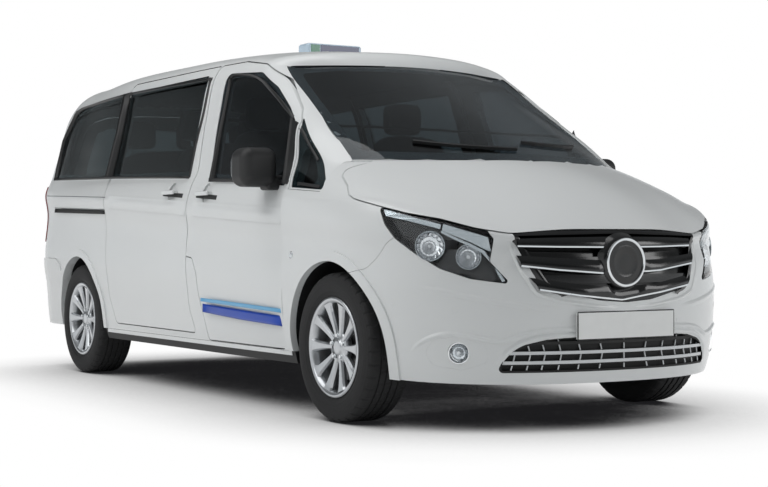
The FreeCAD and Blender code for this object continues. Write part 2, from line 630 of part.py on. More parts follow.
# Sizes of the body's structure.
GLASS_LAP = 25.0
SHUT_GAP = 2.0
ARCH_RADIUS = 385.0
ARCH_FLARE_RADIUS = 430.0
ARCH_FLARE_PROUD = 8.0
LINER_RADIUS = 395.0
LINER_THICKNESS = 6.0
PILLAR_DEPTH = 52.0
PILLAR_THICKNESS = 28.0
PILLAR_GUSSET_DEPTH = 10.0
FRAME_THICKNESS = 16.0
COWL_WALL = 25.0
COWL_DEPTH = 31.0
COWL_THICKNESS = 12.0
COWL_LENGTH = 110.0
BONNET_SETBACK = 22.0
BUMPER_PROUD = 8.0
BUMPER_DEPTH = 30.0
TAIL_STEP = 1.0
TAIL_LAP = 6.0
LAMP_PROUD = 6.0
LAMP_DEPTH = 50.0
STOP_RADIUS = 10.0

# Sizes of the wheels. Their profiles are shares of the tyre's radius and of half its width.
TYRE_RADIUS = 334.0
HUB_HEIGHT = TYRE_RADIUS
TYRE_WIDTH = 225.0
FRONT_WHEEL_X = 833.0
REAR_WHEEL_X = 823.0
SPOKE_COUNT = 10
SPOKE_WIDTH = 30.0
DISC_RADIUS = 150.0
STUB_RADIUS = 18.0
KINGPIN_X = 790.0
KINGPIN_RADIUS = 22.0
TYRE_SHARES = [(0.6344, 0.871), (0.683, 0.871), (0.7507, 0.978), (0.8537, 1.0), (0.942, 0.942), (1.0, 0.764)]
RIM_TAIL_SHARES = [(0.6335, -0.867), (0.625, -0.80), (0.625, 0.80)]
RIM_SHARES = [
    (0.6335, 0.867), (0.6335, 0.874), (0.6727, 0.874), (0.6727, 0.924), (0.610, 0.924), (0.583, 0.60),
    (0.583, -0.60), (0.610, -0.924), (0.6727, -0.924), (0.6727, -0.874), (0.6335, -0.874),
]
SPOKE_SHARES = [
    (0.10, 0.40), (0.10, 0.755), (0.35, 0.80), (0.612, 0.905), (0.612, 0.62), (0.35, 0.55),
]
HUB_SHARES = [(0.0, 0.70), (0.09, 0.78), (0.20, 0.75), (0.23, 0.62), (0.23, 0.27), (0.4416, 0.27), (0.4416, 0.11),
              (0.0, 0.11)]

# Places of the running gear and the structure under the skin.
SILL_TOP_SHARE = 0.1597
SILL_SHARES = (0.8921, 1.0892, 0.1266, 0.8750, 0.1084, 0.1597)
FLOOR_SHARES = [
    (-0.8869, 0.8869, 0.1266, 0.9062, 0.2276, 0.2493),
    (-0.9647, 0.9647, 0.8906, 1.2656, 0.2276, 0.2493),
]
SIDE_MEMBER_SHARES = (0.8299, 0.8921, 0.1266, 0.8687, 0.1355, 0.2276)
DOOR_PAD_ROOM_SHARES = (0.8797, 0.9129, 0.4141, 0.4672, 0.1550, 0.1800)
WHEEL_WELL_SHARES = (0.6224, 1.0892, 0.8625, 1.1375, 0.1626, 0.2547)
BULKHEAD_SHARES = [
    (-0.8299, 0.8299, 0.1297, 0.1359, 0.2493, 0.5528),
    (-0.7054, 0.7054, -0.0625, 0.1359, 0.5420, 0.5528),
    (0.6432, 0.6639, -0.1844, 0.1312, 0.4065, 0.4607),
]
COWL_WALL_Z_SHARES = (0.5420, 0.6775)
BONNET_STOP_SHARES = (0.6535, -0.1250, 0.4553, 0.5691)
GATE_STOP_SHARES = (0.7365, 0.8195, 1.2094, 1.2312, 0.4336, 0.4553)
FENDER_STAY_SHARES = [
    (0.6639, 1.0892, 0.0625, 0.0813, 0.4282, 0.4390),
    (0.6639, 1.0892, -0.0625, -0.0438, 0.4282, 0.4390),
]
LAMP_STAY_SHARES = (0.6639, 0.8299, -0.1937, -0.1750, 0.4173, 0.4390)
FRONT_FRAME_SHARES = [
    (-0.5705, 0.5705, -0.2312, -0.2187, 0.2439, 0.2981),
    (0.3942, 0.4564, -0.2312, -0.2187, 0.1789, 0.2439),
    (-0.4564, -0.3942, -0.2312, -0.2187, 0.1789, 0.2439),
    (0.3942, 0.4564, -0.2187, 0.1875, 0.1789, 0.2276),
    (-0.4564, -0.3942, -0.2187, 0.1875, 0.1789, 0.2276),
]
BUMPER_STAY_SHARES = (0.3942, 0.4564, -0.3125, -0.2312, 0.2547, 0.2873)
RADIATOR_SHARES = (-0.3734, 0.3734, -0.2187, -0.2000, 0.2060, 0.4444)
ENGINE_SHARES = (-0.3112, 0.3112, -0.1812, 0.0062, 0.1789, 0.5095)
SUBFRAME_SHARES = [
    (-0.4772, 0.4772, -0.0438, 0.0438, 0.0921, 0.1789),
    (-0.8039, 0.8039, -0.0094, 0.0094, 0.0921, 0.1057),
]
STRUT_SHARES = (0.5930, 0.0, 0.2493, 0.5420)
STRUT_RADIUS = 28.0
KINGPIN_TOP_SHARE = 0.2493
ARM_TOP_SHARE = 0.1057
TANK_SHARES = (-0.3112, 0.4149, 0.3750, 0.6250, 0.1301, 0.2276)
EXHAUST_SHARES = [(0.6432, 0.1875, 0.1626), (0.6432, 0.6719, 0.1626), (0.6432, 0.8094, 0.1626)]
REAR_AXLE_RADIUS = 34.0
TRAILING_ARM_SHARES = (0.5187, 0.5809, 0.8125, 1.0063, 0.1626, 0.1951)
ARM_MOUNT_SHARES = (0.5187, 0.5809, 0.8125, 0.8375, 0.1951, 0.2276)
SPRING_SHARES = (0.5498, 1.0, 0.1951, 0.2276)
SPRING_RADIUS = 50.0

LINER_INNER_SHARE = 0.6224
WELL_FLOOR_SHARES = (0.5187, 0.7261, 0.8438, 1.1562, 0.0, 0.2276)
BEARING_GAP = 12.0
STUB_LENGTH = 50.0
CARRIER_RADIUS = 52.0
CARRIER_REACH = 40.0
EXHAUST_RADIUS = 28.0
SILENCER_RADIUS = 70.0
HANGER_SHARES = [
    (0.6224, 0.6639, 0.2500, 0.2625, 0.1626, 0.2276), (0.6224, 0.6639, 0.7969, 0.8094, 0.1626, 0.2276),
]

# Cabin furniture.
SEAT_ROUND = 45.0
FRONT_SEAT_SHARES = [
    (0.2075, 0.7054, 0.3062, 0.4562, 0.3360, 0.4282),
    (0.2490, 0.6639, 0.3187, 0.4375, 0.2493, 0.3469),
]
FRONT_BACK_SHARES = [(0.4250, 0.3794, 0.02), (0.4938, 0.7588, 0.02), (0.5250, 0.7480, 0.02), (0.4688, 0.3577, 0.02)]
FRONT_BACK_X_SHARES = (0.2178, 0.6950)
HEADREST_SHARES = (-0.1141, 0.1141, 0.4953, 0.5250, 0.7642, 0.8672)
HEADREST_ROUND = 35.0
FRONT_SEAT_X_SHARE = 0.4564
POST_SHARES = (-0.0519, 0.0519, 0.5062, 0.5125, 0.7046, 0.8130)
REAR_ROW_Y_SHARES = [0.3125, 0.6094]
BENCH_SHARES = [
    (-0.6017, 0.6017, 0.3062, 0.4562, 0.3360, 0.4282),
    (-0.5394, 0.5394, 0.3312, 0.4250, 0.2493, 0.3469),
]
BENCH_BACK_X_SHARES = (-0.6017, 0.6017)
BENCH_HEADREST_X_SHARES = [-0.4046, 0.0, 0.4046]
DASHBOARD_SHARES = [
    (0.0562, 0.5528, 0.0), (0.0547, 0.5745, 0.01), (0.0813, 0.5962, 0.03), (0.1750, 0.5908, 0.02),
    (0.1937, 0.5420, 0.02), (0.1812, 0.4553, 0.02), (0.1359, 0.4228, 0.0), (0.1359, 0.5528, 0.0),
]
DASHBOARD_X_SHARES = (-0.8091, 0.8091)
STEERING_CENTRE_SHARES = (0.4357, 0.2500, 0.5962)
STEERING_WHEEL_RADIUS = 188.0
STEERING_RIM_RADIUS = 14.0
STEERING_TILT = 28.0
COLUMN_RADIUS = 32.0
COLUMN_LENGTH = 260.0
HUB_RADIUS = 62.0
HUB_DEPTH = 34.0
STEERING_SPOKE_ANGLES = [0.0, 180.0, 270.0]

# Outer fittings.
GRILLE_FRAME = 16.0
GRILLE_BACK = 30.0
GRILLE_BAR_SINK = 5.0
GRILLE_BAR_Z_SHARES = [(0.4201, 0.4401), (0.3794, 0.3995), (0.3388, 0.3588)]
INTAKE_BAR_Z_SHARES = [(0.1545, 0.1626), (0.1789, 0.1870), (0.2016, 0.2087)]
EMBLEM_RADIUS = 102.0
EMBLEM_SHARES = (0.0, -0.2766, 0.3864)
EMBLEM_DEPTH = 40.0
FOG_LAMP_RADIUS = 45.0
FOG_LAMP_SHARES = (0.0373, 0.1832)
FOG_SINK = 8.0
FOG_REACH_SHARES = (0.5705, 1.2448)
PLATE_SHARES = (-0.2697, 0.2697, -0.2797, -0.2744, 0.2130, 0.2726)
REAR_PLATE_SHARES = (-0.2697, 0.2697, 1.2437, 1.3125, 0.4336, 0.4932)
REAR_PLATE_THICKNESS = 5.0
MIRROR_SHARES = (0.9699, 1.1665, 0.1594, 0.2125, 0.5772, 0.6775)
MIRROR_ROUND = 52.0
MIRROR_FOOT_SHARES = (0.8921, 1.0270, 0.1656, 0.1937, 0.5691, 0.6070)
MIRROR_FOOT_ROUND = 14.0
HANDLE_LENGTH = 150.0
HANDLE_HEIGHT = 22.0
HANDLE_THICKNESS = 12.0
HANDLE_PROUD = 34.0
HANDLE_FOOT = 18.0
HANDLE_CUP_RADIUS = 52.0
HANDLE_CUP_DEPTH = 12.0
FRONT_HANDLE_SHARES = (0.4114, 0.5720)
SLIDING_HANDLE_SHARES = (0.5471, 0.5813)
SIGN_SHARES = (-0.1815, 0.1815, 0.5125, 0.5500, 0.9810, 1.0407)
SIGN_ROUND = 16.0
WIPER_WIDTH = 12.0
WIPER_HEIGHT = 14.0
WIPER_BOW = 0.6
# Each wiper's line over the windscreen: share of the way across, and share of the way down.
WIPER_SHARES = [
    [(0.20, 0.84), (0.25, 0.862), (0.30, 0.88), (0.35, 0.892), (0.40, 0.90), (0.445, 0.906), (0.49, 0.91)],
    [(0.54, 0.84), (0.59, 0.846), (0.64, 0.85), (0.69, 0.851), (0.74, 0.85), (0.785, 0.842), (0.83, 0.83)],
]


# Panels and glass.

os.makedirs("parts", exist_ok=True)

cabin = cabin_grid()
front = front_grid()
tail = tail_grid()
screen = screen_grid()

glass_depth = GLASS_SINK + GLASS_THICKNESS
wall = slab(cabin, 0, DOOR_THICKNESS)
pane_layer = slab(cabin, GLASS_SINK, glass_depth)
rebate_layer = slab(cabin, -CUT_PROUD, glass_depth + SEAT_GAP)
outside = slab(cabin, -OVERRUN, DOOR_THICKNESS + SEAT_GAP)
sheet = slab(front, 0, SHEET_THICKNESS)
front_outside = slab(front, -OVERRUN, SHEET_THICKNESS + SEAT_GAP)

front_door = side_outline(FRONT_DOOR_SHARES)
sliding_door = side_outline(SLIDING_DOOR_SHARES)
front_pane = side_outline(FRONT_PANE_SHARES)
quarter_light = side_outline(QUARTER_LIGHT_SHARES)
sliding_pane = side_outline(SLIDING_PANE_SHARES)
rear_pane = side_outline(REAR_PANE_SHARES)
bonnet_side = side_outline(BONNET_SHARES)
fender_side = side_outline(FENDER_SHARES)
rear_bumper_side = side_outline(REAR_BUMPER_SHARES)
tail_lamp_side = side_outline(TAIL_LAMP_SHARES)

PANEL_INNER_SHARE = 0.70
DOOR_INNER_SHARE = 0.74


def pane_in(outline):
    return pane_layer.common(side_prism(outline, PANEL_INNER_SHARE))


def window_cut(outline, hole_outline=None):
    """Tools that sink one window's glass into a wall and open the hole behind it."""
    rebate = rebate_layer.common(side_prism(grow(outline, SEAT_GAP), PANEL_INNER_SHARE))
    hole = side_prism(hole_outline or grow(outline, -GLASS_LAP), PANEL_INNER_SHARE)
    return [rebate, hole]


def handle_cup(shares):
    middle = place(1, shares[0], shares[1])
    drum = Part.makeCylinder(HANDLE_CUP_RADIUS, OVERRUN * 2, middle - vec(OVERRUN, 0, 0), vec(1, 0, 0))
    return slab(cabin, -CUT_PROUD, HANDLE_CUP_DEPTH).common(drum)


door_front_left = wall.common(side_prism(front_door, DOOR_INNER_SHARE))
door_front_left = largest(door_front_left.cut(window_cut(front_pane) + [handle_cup(FRONT_HANDLE_SHARES)]))
door_slide_left = wall.common(side_prism(sliding_door, PANEL_INNER_SHARE))
door_slide_left = largest(door_slide_left.cut(window_cut(sliding_pane) + [handle_cup(SLIDING_HANDLE_SHARES)]))
save("front_door_left", door_front_left)
save("front_door_right", mirrored(door_front_left))
save("sliding_door_left", door_slide_left)
save("sliding_door_right", mirrored(door_slide_left))
glass_front_left = largest(pane_in(front_pane))
save("front_window_left", glass_front_left)
save("front_window_right", mirrored(glass_front_left))
fixed_panes = [largest(pane_in(outline)) for outline in (quarter_light, sliding_pane, rear_pane)]
save("side_windows", pair(Part.makeCompound(fixed_panes)))


def axle_drum(axle_y, radius, inner_share=0.52):
    """Drum along an axle, on the left of the vehicle."""
    start = vec(inner_share * HALF_WIDTH, axle_y, HUB_HEIGHT)
    return Part.makeCylinder(radius, HALF_WIDTH * (1 - inner_share) + OVERRUN, start, vec(1, 0, 0))


def foot_line(limit_share):
    """Points along the windscreen's foot, from the middle out to a limit."""
    return [place(*shares) for shares in SCREEN_FOOT_SHARES if shares[0] <= limit_share]


def plan_band(points, forward, rearward):
    """Top view outline of a band along a line of points, mirrored about the middle."""
    whole = [vec(-p.x, p.y, p.z) for p in points[:0:-1]] + points
    return [(p.x, p.y - forward, 0) for p in whole] + [(p.x, p.y + rearward, 0) for p in whole[::-1]]


# The bonnet fills its outline in the side view, ahead of a line along the windscreen's foot.
bonnet_foot = foot_line(0.86)
bonnet_foot.append(vec(HALF_WIDTH + OVERRUN, bonnet_foot[-1].y, 0))


def bonnet_zone(gap):
    rear = [(p.x, p.y - BONNET_SETBACK + gap, 0) for p in bonnet_foot]
    ahead = -BODY_LENGTH
    plan = [(-HALF_WIDTH - OVERRUN, ahead, 0), (HALF_WIDTH + OVERRUN, ahead, 0)] + rear[::-1]
    plan += [(-x, y, radius) for x, y, radius in rear[1:]]
    side = grow(bonnet_side, gap) if gap else bonnet_side
    return across_prism(side).common(prism(plan, "top", 0, ROOF_HEIGHT))


headlamp = corner_outline(HEADLAMP_SHARES)
fog = corner_outline(FOG_SHARES)
grille_outline = front_outline(GRILLE_SHARES)
intake_outline = front_outline(INTAKE_SHARES)
bonnet_gap_zone = bonnet_zone(PANEL_GAP)
lamp_gap_zone = pair(corner_prism(grow(headlamp, PANEL_GAP / 2)))
bonnet = largest(sheet.common(bonnet_zone(0)).cut([lamp_gap_zone]))
save("bonnet", bonnet)

# Front wings and bumper, with the proud rings round the wheel arches.
proud_sheet = slab(front, -ARCH_FLARE_PROUD, SHEET_THICKNESS)
front_arch = axle_drum(FRONT_AXLE_Y, ARCH_RADIUS)
rear_arch = axle_drum(REAR_AXLE_Y, ARCH_RADIUS)
front_ring = axle_drum(FRONT_AXLE_Y, ARCH_FLARE_RADIUS)
rear_ring = axle_drum(REAR_AXLE_Y, ARCH_FLARE_RADIUS)
fender_zone = side_prism(fender_side, PANEL_INNER_SHARE)
front_door_gap_zone = side_prism(grow(front_door, PANEL_GAP), PANEL_INNER_SHARE)
wing = sheet.common(fender_zone).fuse(proud_sheet.common(fender_zone).common(front_ring))
wing = largest(wing.cut([front_arch, front_door_gap_zone, bonnet_gap_zone, lamp_gap_zone]))
stays = [share_box(shares).cut(front_outside) for shares in FENDER_STAY_SHARES]
wing = largest(wing.fuse([largest(stay) for stay in stays]))
save("front_wing_left", wing)
save("front_wing_right", mirrored(wing))

# The bumper takes the rest of the front, below the bonnet and ahead of the wings.
nose_side = side_outline(NOSE_ZONE_SHARES)
nose_zone = across_prism(nose_side)
wing_gap_zone = pair(side_prism(grow(fender_side, SHUT_GAP), PANEL_INNER_SHARE))
plate = share_box(PLATE_SHARES)
bumper = sheet.common(nose_zone)
bumper = bumper.fuse([proud_sheet.common(nose_zone).common(ring) for ring in (front_ring, mirrored(front_ring))])
bumper = bumper.cut([front_arch, mirrored(front_arch), wing_gap_zone, bonnet_gap_zone, lamp_gap_zone,
                     nose_prism(grow(grille_outline, SEAT_GAP)), nose_prism(grow(intake_outline, SEAT_GAP)),
                     pair(corner_prism(grow(fog, SEAT_GAP))), plate])
bumper_stay = share_box(BUMPER_STAY_SHARES).cut(front_outside)
bumper = largest(largest(bumper).fuse(pair(largest(bumper_stay)).Solids))
save("front_bumper", bumper)
save("front_plate", plate)

# Headlamps and fog lamps.


def corner_point(a_share, z_share, out_share):
    """A point seen across the left front corner, at a distance out from the vehicle's middle."""
    right, up = VIEWS["corner"]
    middle = FRONT_AXLE_Y / math.sqrt(2)
    point = right * (middle + a_share * HALF_WIDTH) + up * (z_share * ROOF_HEIGHT)
    return point + right.cross(up) * (out_share * HALF_WIDTH - middle)


lamp_layer = slab(front, 0, LAMP_DEPTH)
head = lamp_layer.common(corner_prism(headlamp)).cut([bonnet_gap_zone])
head = largest(head)
fog_low = corner_point(FOG_LAMP_SHARES[0], FOG_LAMP_SHARES[1], FOG_REACH_SHARES[0])
fog_high = corner_point(FOG_LAMP_SHARES[0], FOG_LAMP_SHARES[1], FOG_REACH_SHARES[1])
fog_layer = slab(front, FOG_SINK, LAMP_DEPTH)
fog_lamp = largest(fog_layer.common(rod(fog_low, fog_high, FOG_LAMP_RADIUS)))
lamp_stay = largest(share_box(LAMP_STAY_SHARES).cut(front_outside))
head = largest(head.fuse(lamp_stay))
save("front_lamps", pair(head), pair(fog_lamp))

# Grilles: a frame, bars and a closed back, with the plain disc on the upper one.
frame_layer = slab(front, 0, GRILLE_BACK)
bar_layer = slab(front, GRILLE_BAR_SINK, GRILLE_BACK)
back_layer = slab(front, SHEET_THICKNESS, GRILLE_BACK)


def grille_of(outline, frame, bar_shares):
    inside = nose_prism(grow(outline, -frame))
    parts = [frame_layer.common(nose_prism(outline)).cut(inside), back_layer.common(inside)]
    for low_share, high_share in bar_shares:
        band = box(-HALF_WIDTH, HALF_WIDTH, -BODY_LENGTH, FRONT_AXLE_Y, low_share * ROOF_HEIGHT,
                   high_share * ROOF_HEIGHT)
        parts.append(bar_layer.common(inside).common(band))
    return parts


upper_grille = grille_of(grille_outline, GRILLE_FRAME, GRILLE_BAR_Z_SHARES)
disc_front = place(*EMBLEM_SHARES)
upper_grille.append(Part.makeCylinder(EMBLEM_RADIUS, EMBLEM_DEPTH, disc_front, vec(0, 1, 0)))
grille = largest(upper_grille[0].fuse(upper_grille[1:]).cut([bonnet_gap_zone]))
save("grille", grille)
intake_parts = grille_of(intake_outline, GRILLE_FRAME / 2, INTAKE_BAR_Z_SHARES)
bezel = slab(front, SEAT_GAP, GRILLE_BACK).common(corner_prism(fog))
bezel = largest(bezel.cut([rod(fog_low, fog_high, FOG_LAMP_RADIUS + SEAT_GAP)]))
intake_grille = intake_parts[0].fuse(intake_parts[1:]).cut([share_box(PLATE_SHARES, SEAT_GAP)])
save("lower_grilles", largest(intake_grille), pair(bezel))

# Tailgate and what surrounds it.
tailgate_outline = front_outline(TAILGATE_SHARES)
rear_window = front_outline(REAR_WINDOW_SHARES)
tail_wall = slab(tail, 0, DOOR_THICKNESS)
tail_outside = slab(tail, -OVERRUN, DOOR_THICKNESS + SEAT_GAP)
rear_plate_zone = share_box(REAR_PLATE_SHARES)
gate = tail_wall.common(tail_prism(tailgate_outline))
gate = gate.cut([slab(tail, -CUT_PROUD, glass_depth + SEAT_GAP).common(tail_prism(grow(rear_window, SEAT_GAP))),
                 tail_prism(grow(rear_window, -GLASS_LAP))])
save("tailgate", largest(gate))
save("rear_window", largest(slab(tail, GLASS_SINK, glass_depth).common(tail_prism(rear_window))))
rear_plate = slab(tail, -REAR_PLATE_THICKNESS - SEAT_GAP, -SEAT_GAP).common(rear_plate_zone)
save("rear_plate", largest(rear_plate))

# The body: the cabin's wall without its doors and windows, with the tail's frame, the windscreen's
# frame, the pillars, the bulkhead and the inner wings.
end_line = [row[-1] for row in cabin]
end_outline = grow([(p.x, p.z, 0) for p in end_line], TAIL_LAP)
floor_line = SILL_TOP_SHARE * ROOF_HEIGHT
below = box(-HALF_WIDTH - OVERRUN, HALF_WIDTH + OVERRUN, -BODY_LENGTH, BODY_LENGTH, 0, floor_line)
sliding_gap_zone = side_prism(grow(sliding_door, PANEL_GAP), PANEL_INNER_SHARE)
wing_top_zone = side_prism(grow(fender_side, SHUT_GAP), PANEL_INNER_SHARE)
bumper_zone = slab(cabin, -CUT_PROUD, BUMPER_DEPTH + SEAT_GAP)
bumper_zone = bumper_zone.common(side_prism(grow(rear_bumper_side, SHUT_GAP), PANEL_INNER_SHARE))
lamp_zone = slab(cabin, -CUT_PROUD, BUMPER_DEPTH + SEAT_GAP)
lamp_zone = lamp_zone.common(side_prism(grow(tail_lamp_side, SHUT_GAP), PANEL_INNER_SHARE))
slot = slab(cabin, -CUT_PROUD, SLOT_DEPTH).common(side_prism(side_outline(SLIDE_SLOT_SHARES), PANEL_INNER_SHARE))
left_tools = [front_door_gap_zone, sliding_gap_zone, wing_top_zone, rear_arch, bumper_zone, lamp_zone, slot]
left_tools += window_cut(quarter_light, side_outline(QUARTER_HOLE_SHARES)) + window_cut(rear_pane)
screen_air = slab(screen, -OVERRUN, glass_depth + SEAT_GAP + TAIL_STEP)
left_side = box(0, HALF_WIDTH * 2, -BODY_LENGTH, BODY_LENGTH, -ROOF_HEIGHT, ROOF_HEIGHT * 2)
body_half = wall.common(left_side)
for tool in [below, screen_air] + left_tools:
    body_half = body_half.cut(tool)
rear_flare = slab(cabin, -ARCH_FLARE_PROUD, SHEET_THICKNESS).common(rear_ring)
rear_flare = rear_flare.cut([rear_arch, below, bumper_zone])
flap_panel = slab(cabin, 0, PILLAR_DEPTH + PILLAR_THICKNESS / 2)
flap_panel = flap_panel.common(side_prism(side_outline(FLAP_PANEL_SHARES), PANEL_INNER_SHARE))
flap_panel = flap_panel.cut([front_door_gap_zone, sliding_gap_zone, below])
pillar = slab(cabin, PILLAR_DEPTH, PILLAR_DEPTH + PILLAR_THICKNESS)
pillar = pillar.common(side_prism(side_outline(PILLAR_SHARES), PANEL_INNER_SHARE)).cut([below])
gusset = slab(cabin, PILLAR_GUSSET_DEPTH, PILLAR_DEPTH + PILLAR_THICKNESS)
gusset = gusset.common(side_prism(side_outline(PILLAR_TOP_SHARES), PANEL_INNER_SHARE))
pads = []
pad_layer = slab(cabin, DOOR_THICKNESS + SEAT_GAP, PILLAR_DEPTH + PILLAR_THICKNESS / 2)
for shares in DOOR_PAD_SHARES:
    pads += pad_layer.common(side_prism(side_outline(shares), PANEL_INNER_SHARE)).Solids
gate_stop = largest(share_box(GATE_STOP_SHARES).cut(tail_outside))
additions = [rear_flare, flap_panel, pillar, gusset, gate_stop] + pads
tail_frame = slab(tail, TAIL_STEP, DOOR_THICKNESS - TAIL_STEP).common(tail_prism(end_outline))
tail_bumper_zone = slab(tail, -CUT_PROUD, BUMPER_DEPTH + SEAT_GAP)
tail_bumper_zone = tail_bumper_zone.common(box(-HALF_WIDTH, HALF_WIDTH, 0, BODY_LENGTH, 0,
                                               rear_bumper_side[4][1] + SHUT_GAP))
additions.append(tail_frame.cut([tail_prism(grow(tailgate_outline, PANEL_GAP)), tail_bumper_zone, lamp_zone, below]))
screen_frame = slab(screen, glass_depth + SEAT_GAP, glass_depth + SEAT_GAP + FRAME_THICKNESS)
additions.append(screen_frame.cut(nose_opening(front_outline(SCREEN_OPENING_SHARES))))
cowl_foot = foot_line(SCREEN_EDGE_SHARES[SCREEN_SIDE_START][0]) + [place(*SCREEN_EDGE_SHARES[SCREEN_SIDE_START])]
cowl_wall = prism(plan_band(cowl_foot, 0, COWL_WALL), "top", COWL_WALL_Z_SHARES[0] * ROOF_HEIGHT,
                  COWL_WALL_Z_SHARES[1] * ROOF_HEIGHT)
wing_top = front_outside.common(wing_top_zone)
additions.append(largest(cowl_wall.cut([slab(screen, -OVERRUN * 3, glass_depth + SEAT_GAP), wing_top])))
additions += [share_box(shares) for shares in BULKHEAD_SHARES]
stop_x, stop_y, stop_low, stop_high = BONNET_STOP_SHARES
bonnet_stop = rod(place(stop_x, stop_y, stop_low), place(stop_x, stop_y, stop_high), STOP_RADIUS)
additions.append(largest(bonnet_stop.cut(front_outside)))
for part in additions:
    body_half = body_half.fuse(part.common(left_side))
save("body_shell", largest(body_half.fuse(mirrored(body_half))))
save("windscreen", slab(screen, GLASS_SINK, glass_depth))

# Rear bumper and tail lamps.
bumper_layer = slab(cabin, -BUMPER_PROUD, BUMPER_DEPTH)
rear_corner = bumper_layer.common(side_prism(rear_bumper_side, PANEL_INNER_SHARE)).cut(rear_arch)
bumper_top = rear_bumper_side[4][1]
bumper_base = rear_bumper_side[0][1]
tail_span = box(-HALF_WIDTH, HALF_WIDTH, 0, BODY_LENGTH, bumper_base, bumper_top)
rear_middle = slab(tail, TAIL_STEP - BUMPER_PROUD, BUMPER_DEPTH - TAIL_STEP).common(tail_prism(end_outline))
rear_middle = rear_middle.common(tail_span)
rear_bumper = rear_middle.fuse(largest(rear_corner)).fuse(mirrored(largest(rear_corner)))
save("rear_bumper", largest(rear_bumper))
tail_lamp = slab(cabin, -LAMP_PROUD, BUMPER_DEPTH).common(side_prism(tail_lamp_side, PANEL_INNER_SHARE))
save("tail_lamps", pair(largest(tail_lamp)))

# Sills, floor, wheel arch liners and the structure in front.
sill = slab(cabin, 0, HALF_WIDTH / 4).common(share_box(SILL_SHARES))
save("sills", pair(largest(sill)))
wheel_well = share_box(WHEEL_WELL_SHARES)
floor = share_box(FLOOR_SHARES[0]).fuse([share_box(FLOOR_SHARES[1])])
floor = floor.cut([outside, tail_outside, wheel_well, mirrored(wheel_well)])
side_member = share_box(SIDE_MEMBER_SHARES).cut([share_box(DOOR_PAD_ROOM_SHARES)])
floor = largest(floor).fuse([side_member, mirrored(side_member)])
save("floor_pan", largest(floor))


def arch_liner(axle_y, inner_share, skins):
    """Half drum over a wheel, from its inner side out to the panels around it."""
    liner = axle_drum(axle_y, LINER_RADIUS + LINER_THICKNESS, inner_share)
    liner = liner.cut([axle_drum(axle_y, LINER_RADIUS, inner_share)] + skins)
    return largest(liner.cut([below]))


front_liner = arch_liner(FRONT_AXLE_Y, LINER_INNER_SHARE, [front_outside])
rear_liner = arch_liner(REAR_AXLE_Y, LINER_INNER_SHARE, [outside])
well_wall = Part.makeCylinder(LINER_RADIUS + LINER_THICKNESS, LINER_THICKNESS,
                              vec(LINER_INNER_SHARE * HALF_WIDTH, REAR_AXLE_Y, HUB_HEIGHT), vec(1, 0, 0))
rear_liner = rear_liner.fuse(well_wall.cut([share_box(WELL_FLOOR_SHARES)]))
save("arch_liners", pair(front_liner), pair(largest(rear_liner)))
save("front_frame", joined([share_box(shares) for shares in FRONT_FRAME_SHARES]))
save("radiator", share_box(RADIATOR_SHARES))
save("engine_block", share_box(ENGINE_SHARES))

# Suspension and wheels.
strut_x, strut_y, strut_low, strut_high = STRUT_SHARES
strut = rod(place(strut_x, strut_y, strut_low), place(strut_x, strut_y, strut_high), STRUT_RADIUS)
save("front_suspension", joined([share_box(shares) for shares in SUBFRAME_SHARES]), pair(strut))
spring_x, spring_y, spring_low, spring_high = SPRING_SHARES
spring = rod(place(spring_x, spring_y, spring_low), place(spring_x, spring_y, spring_high), SPRING_RADIUS)
axle_end = vec(REAR_WHEEL_X - BEARING_GAP, REAR_AXLE_Y, HUB_HEIGHT)
axle = rod(vec(-axle_end.x, axle_end.y, axle_end.z), axle_end, REAR_AXLE_RADIUS)
stub_end = vec(REAR_WHEEL_X + STUB_LENGTH, REAR_AXLE_Y, HUB_HEIGHT)
stub = rod(vec(-stub_end.x, stub_end.y, stub_end.z), stub_end, STUB_RADIUS)
trailing = [share_box(TRAILING_ARM_SHARES), share_box(ARM_MOUNT_SHARES), spring]
save("rear_suspension", joined([axle, stub] + trailing + [mirrored(part) for part in trailing]))


def spun(shares):
    """Solid turned about the X axis from (radius, place) points, as shares of the tyre's radius and half width."""
    points = [vec(t * TYRE_WIDTH / 2, 0, r * TYRE_RADIUS) for r, t in shares]
    face = Part.Face(Part.makePolygon(points + points[:1]))
    turned = face.revolve(vec(0, 0, 0), vec(1, 0, 0), 360)
    return turned if turned.Volume > 0 else turned.reversed()


tyre = spun(TYRE_SHARES + [(r, -t) for r, t in TYRE_SHARES[::-1]])
spoke_points = [vec(t * TYRE_WIDTH / 2, -SPOKE_WIDTH / 2, r * TYRE_RADIUS) for r, t in SPOKE_SHARES]
spoke = Part.Face(Part.makePolygon(spoke_points + spoke_points[:1])).extrude(vec(0, SPOKE_WIDTH, 0))
spokes = []
for number in range(SPOKE_COUNT):
    turned = spoke.copy()
    turned.rotate(vec(0, 0, 0), vec(1, 0, 0), number * 360 / SPOKE_COUNT)
    spokes.append(turned)
rim = spun(RIM_SHARES + [(r, t) for r, t in RIM_TAIL_SHARES]).fuse([spun(HUB_SHARES)] + spokes)
bore = rod(vec(-TYRE_WIDTH, 0, 0), vec(STUB_LENGTH + BEARING_GAP, 0, 0), STUB_RADIUS + SEAT_GAP)
rim = largest(rim.cut(bore))


def fit_wheel(shape, centre_x, axle_y):
    moved = shape.copy()
    moved.translate(vec(centre_x, axle_y, HUB_HEIGHT))
    return moved


for place_name, centre_x, axle_y in (("front", FRONT_WHEEL_X, FRONT_AXLE_Y), ("rear", REAR_WHEEL_X, REAR_AXLE_Y)):
    for piece_name, piece in (("rim", rim), ("tyre", tyre)):
        left_piece = fit_wheel(piece, centre_x, axle_y)
        save(place_name + "_" + piece_name + "_left", left_piece)
        save(place_name + "_" + piece_name + "_right", mirrored(left_piece))

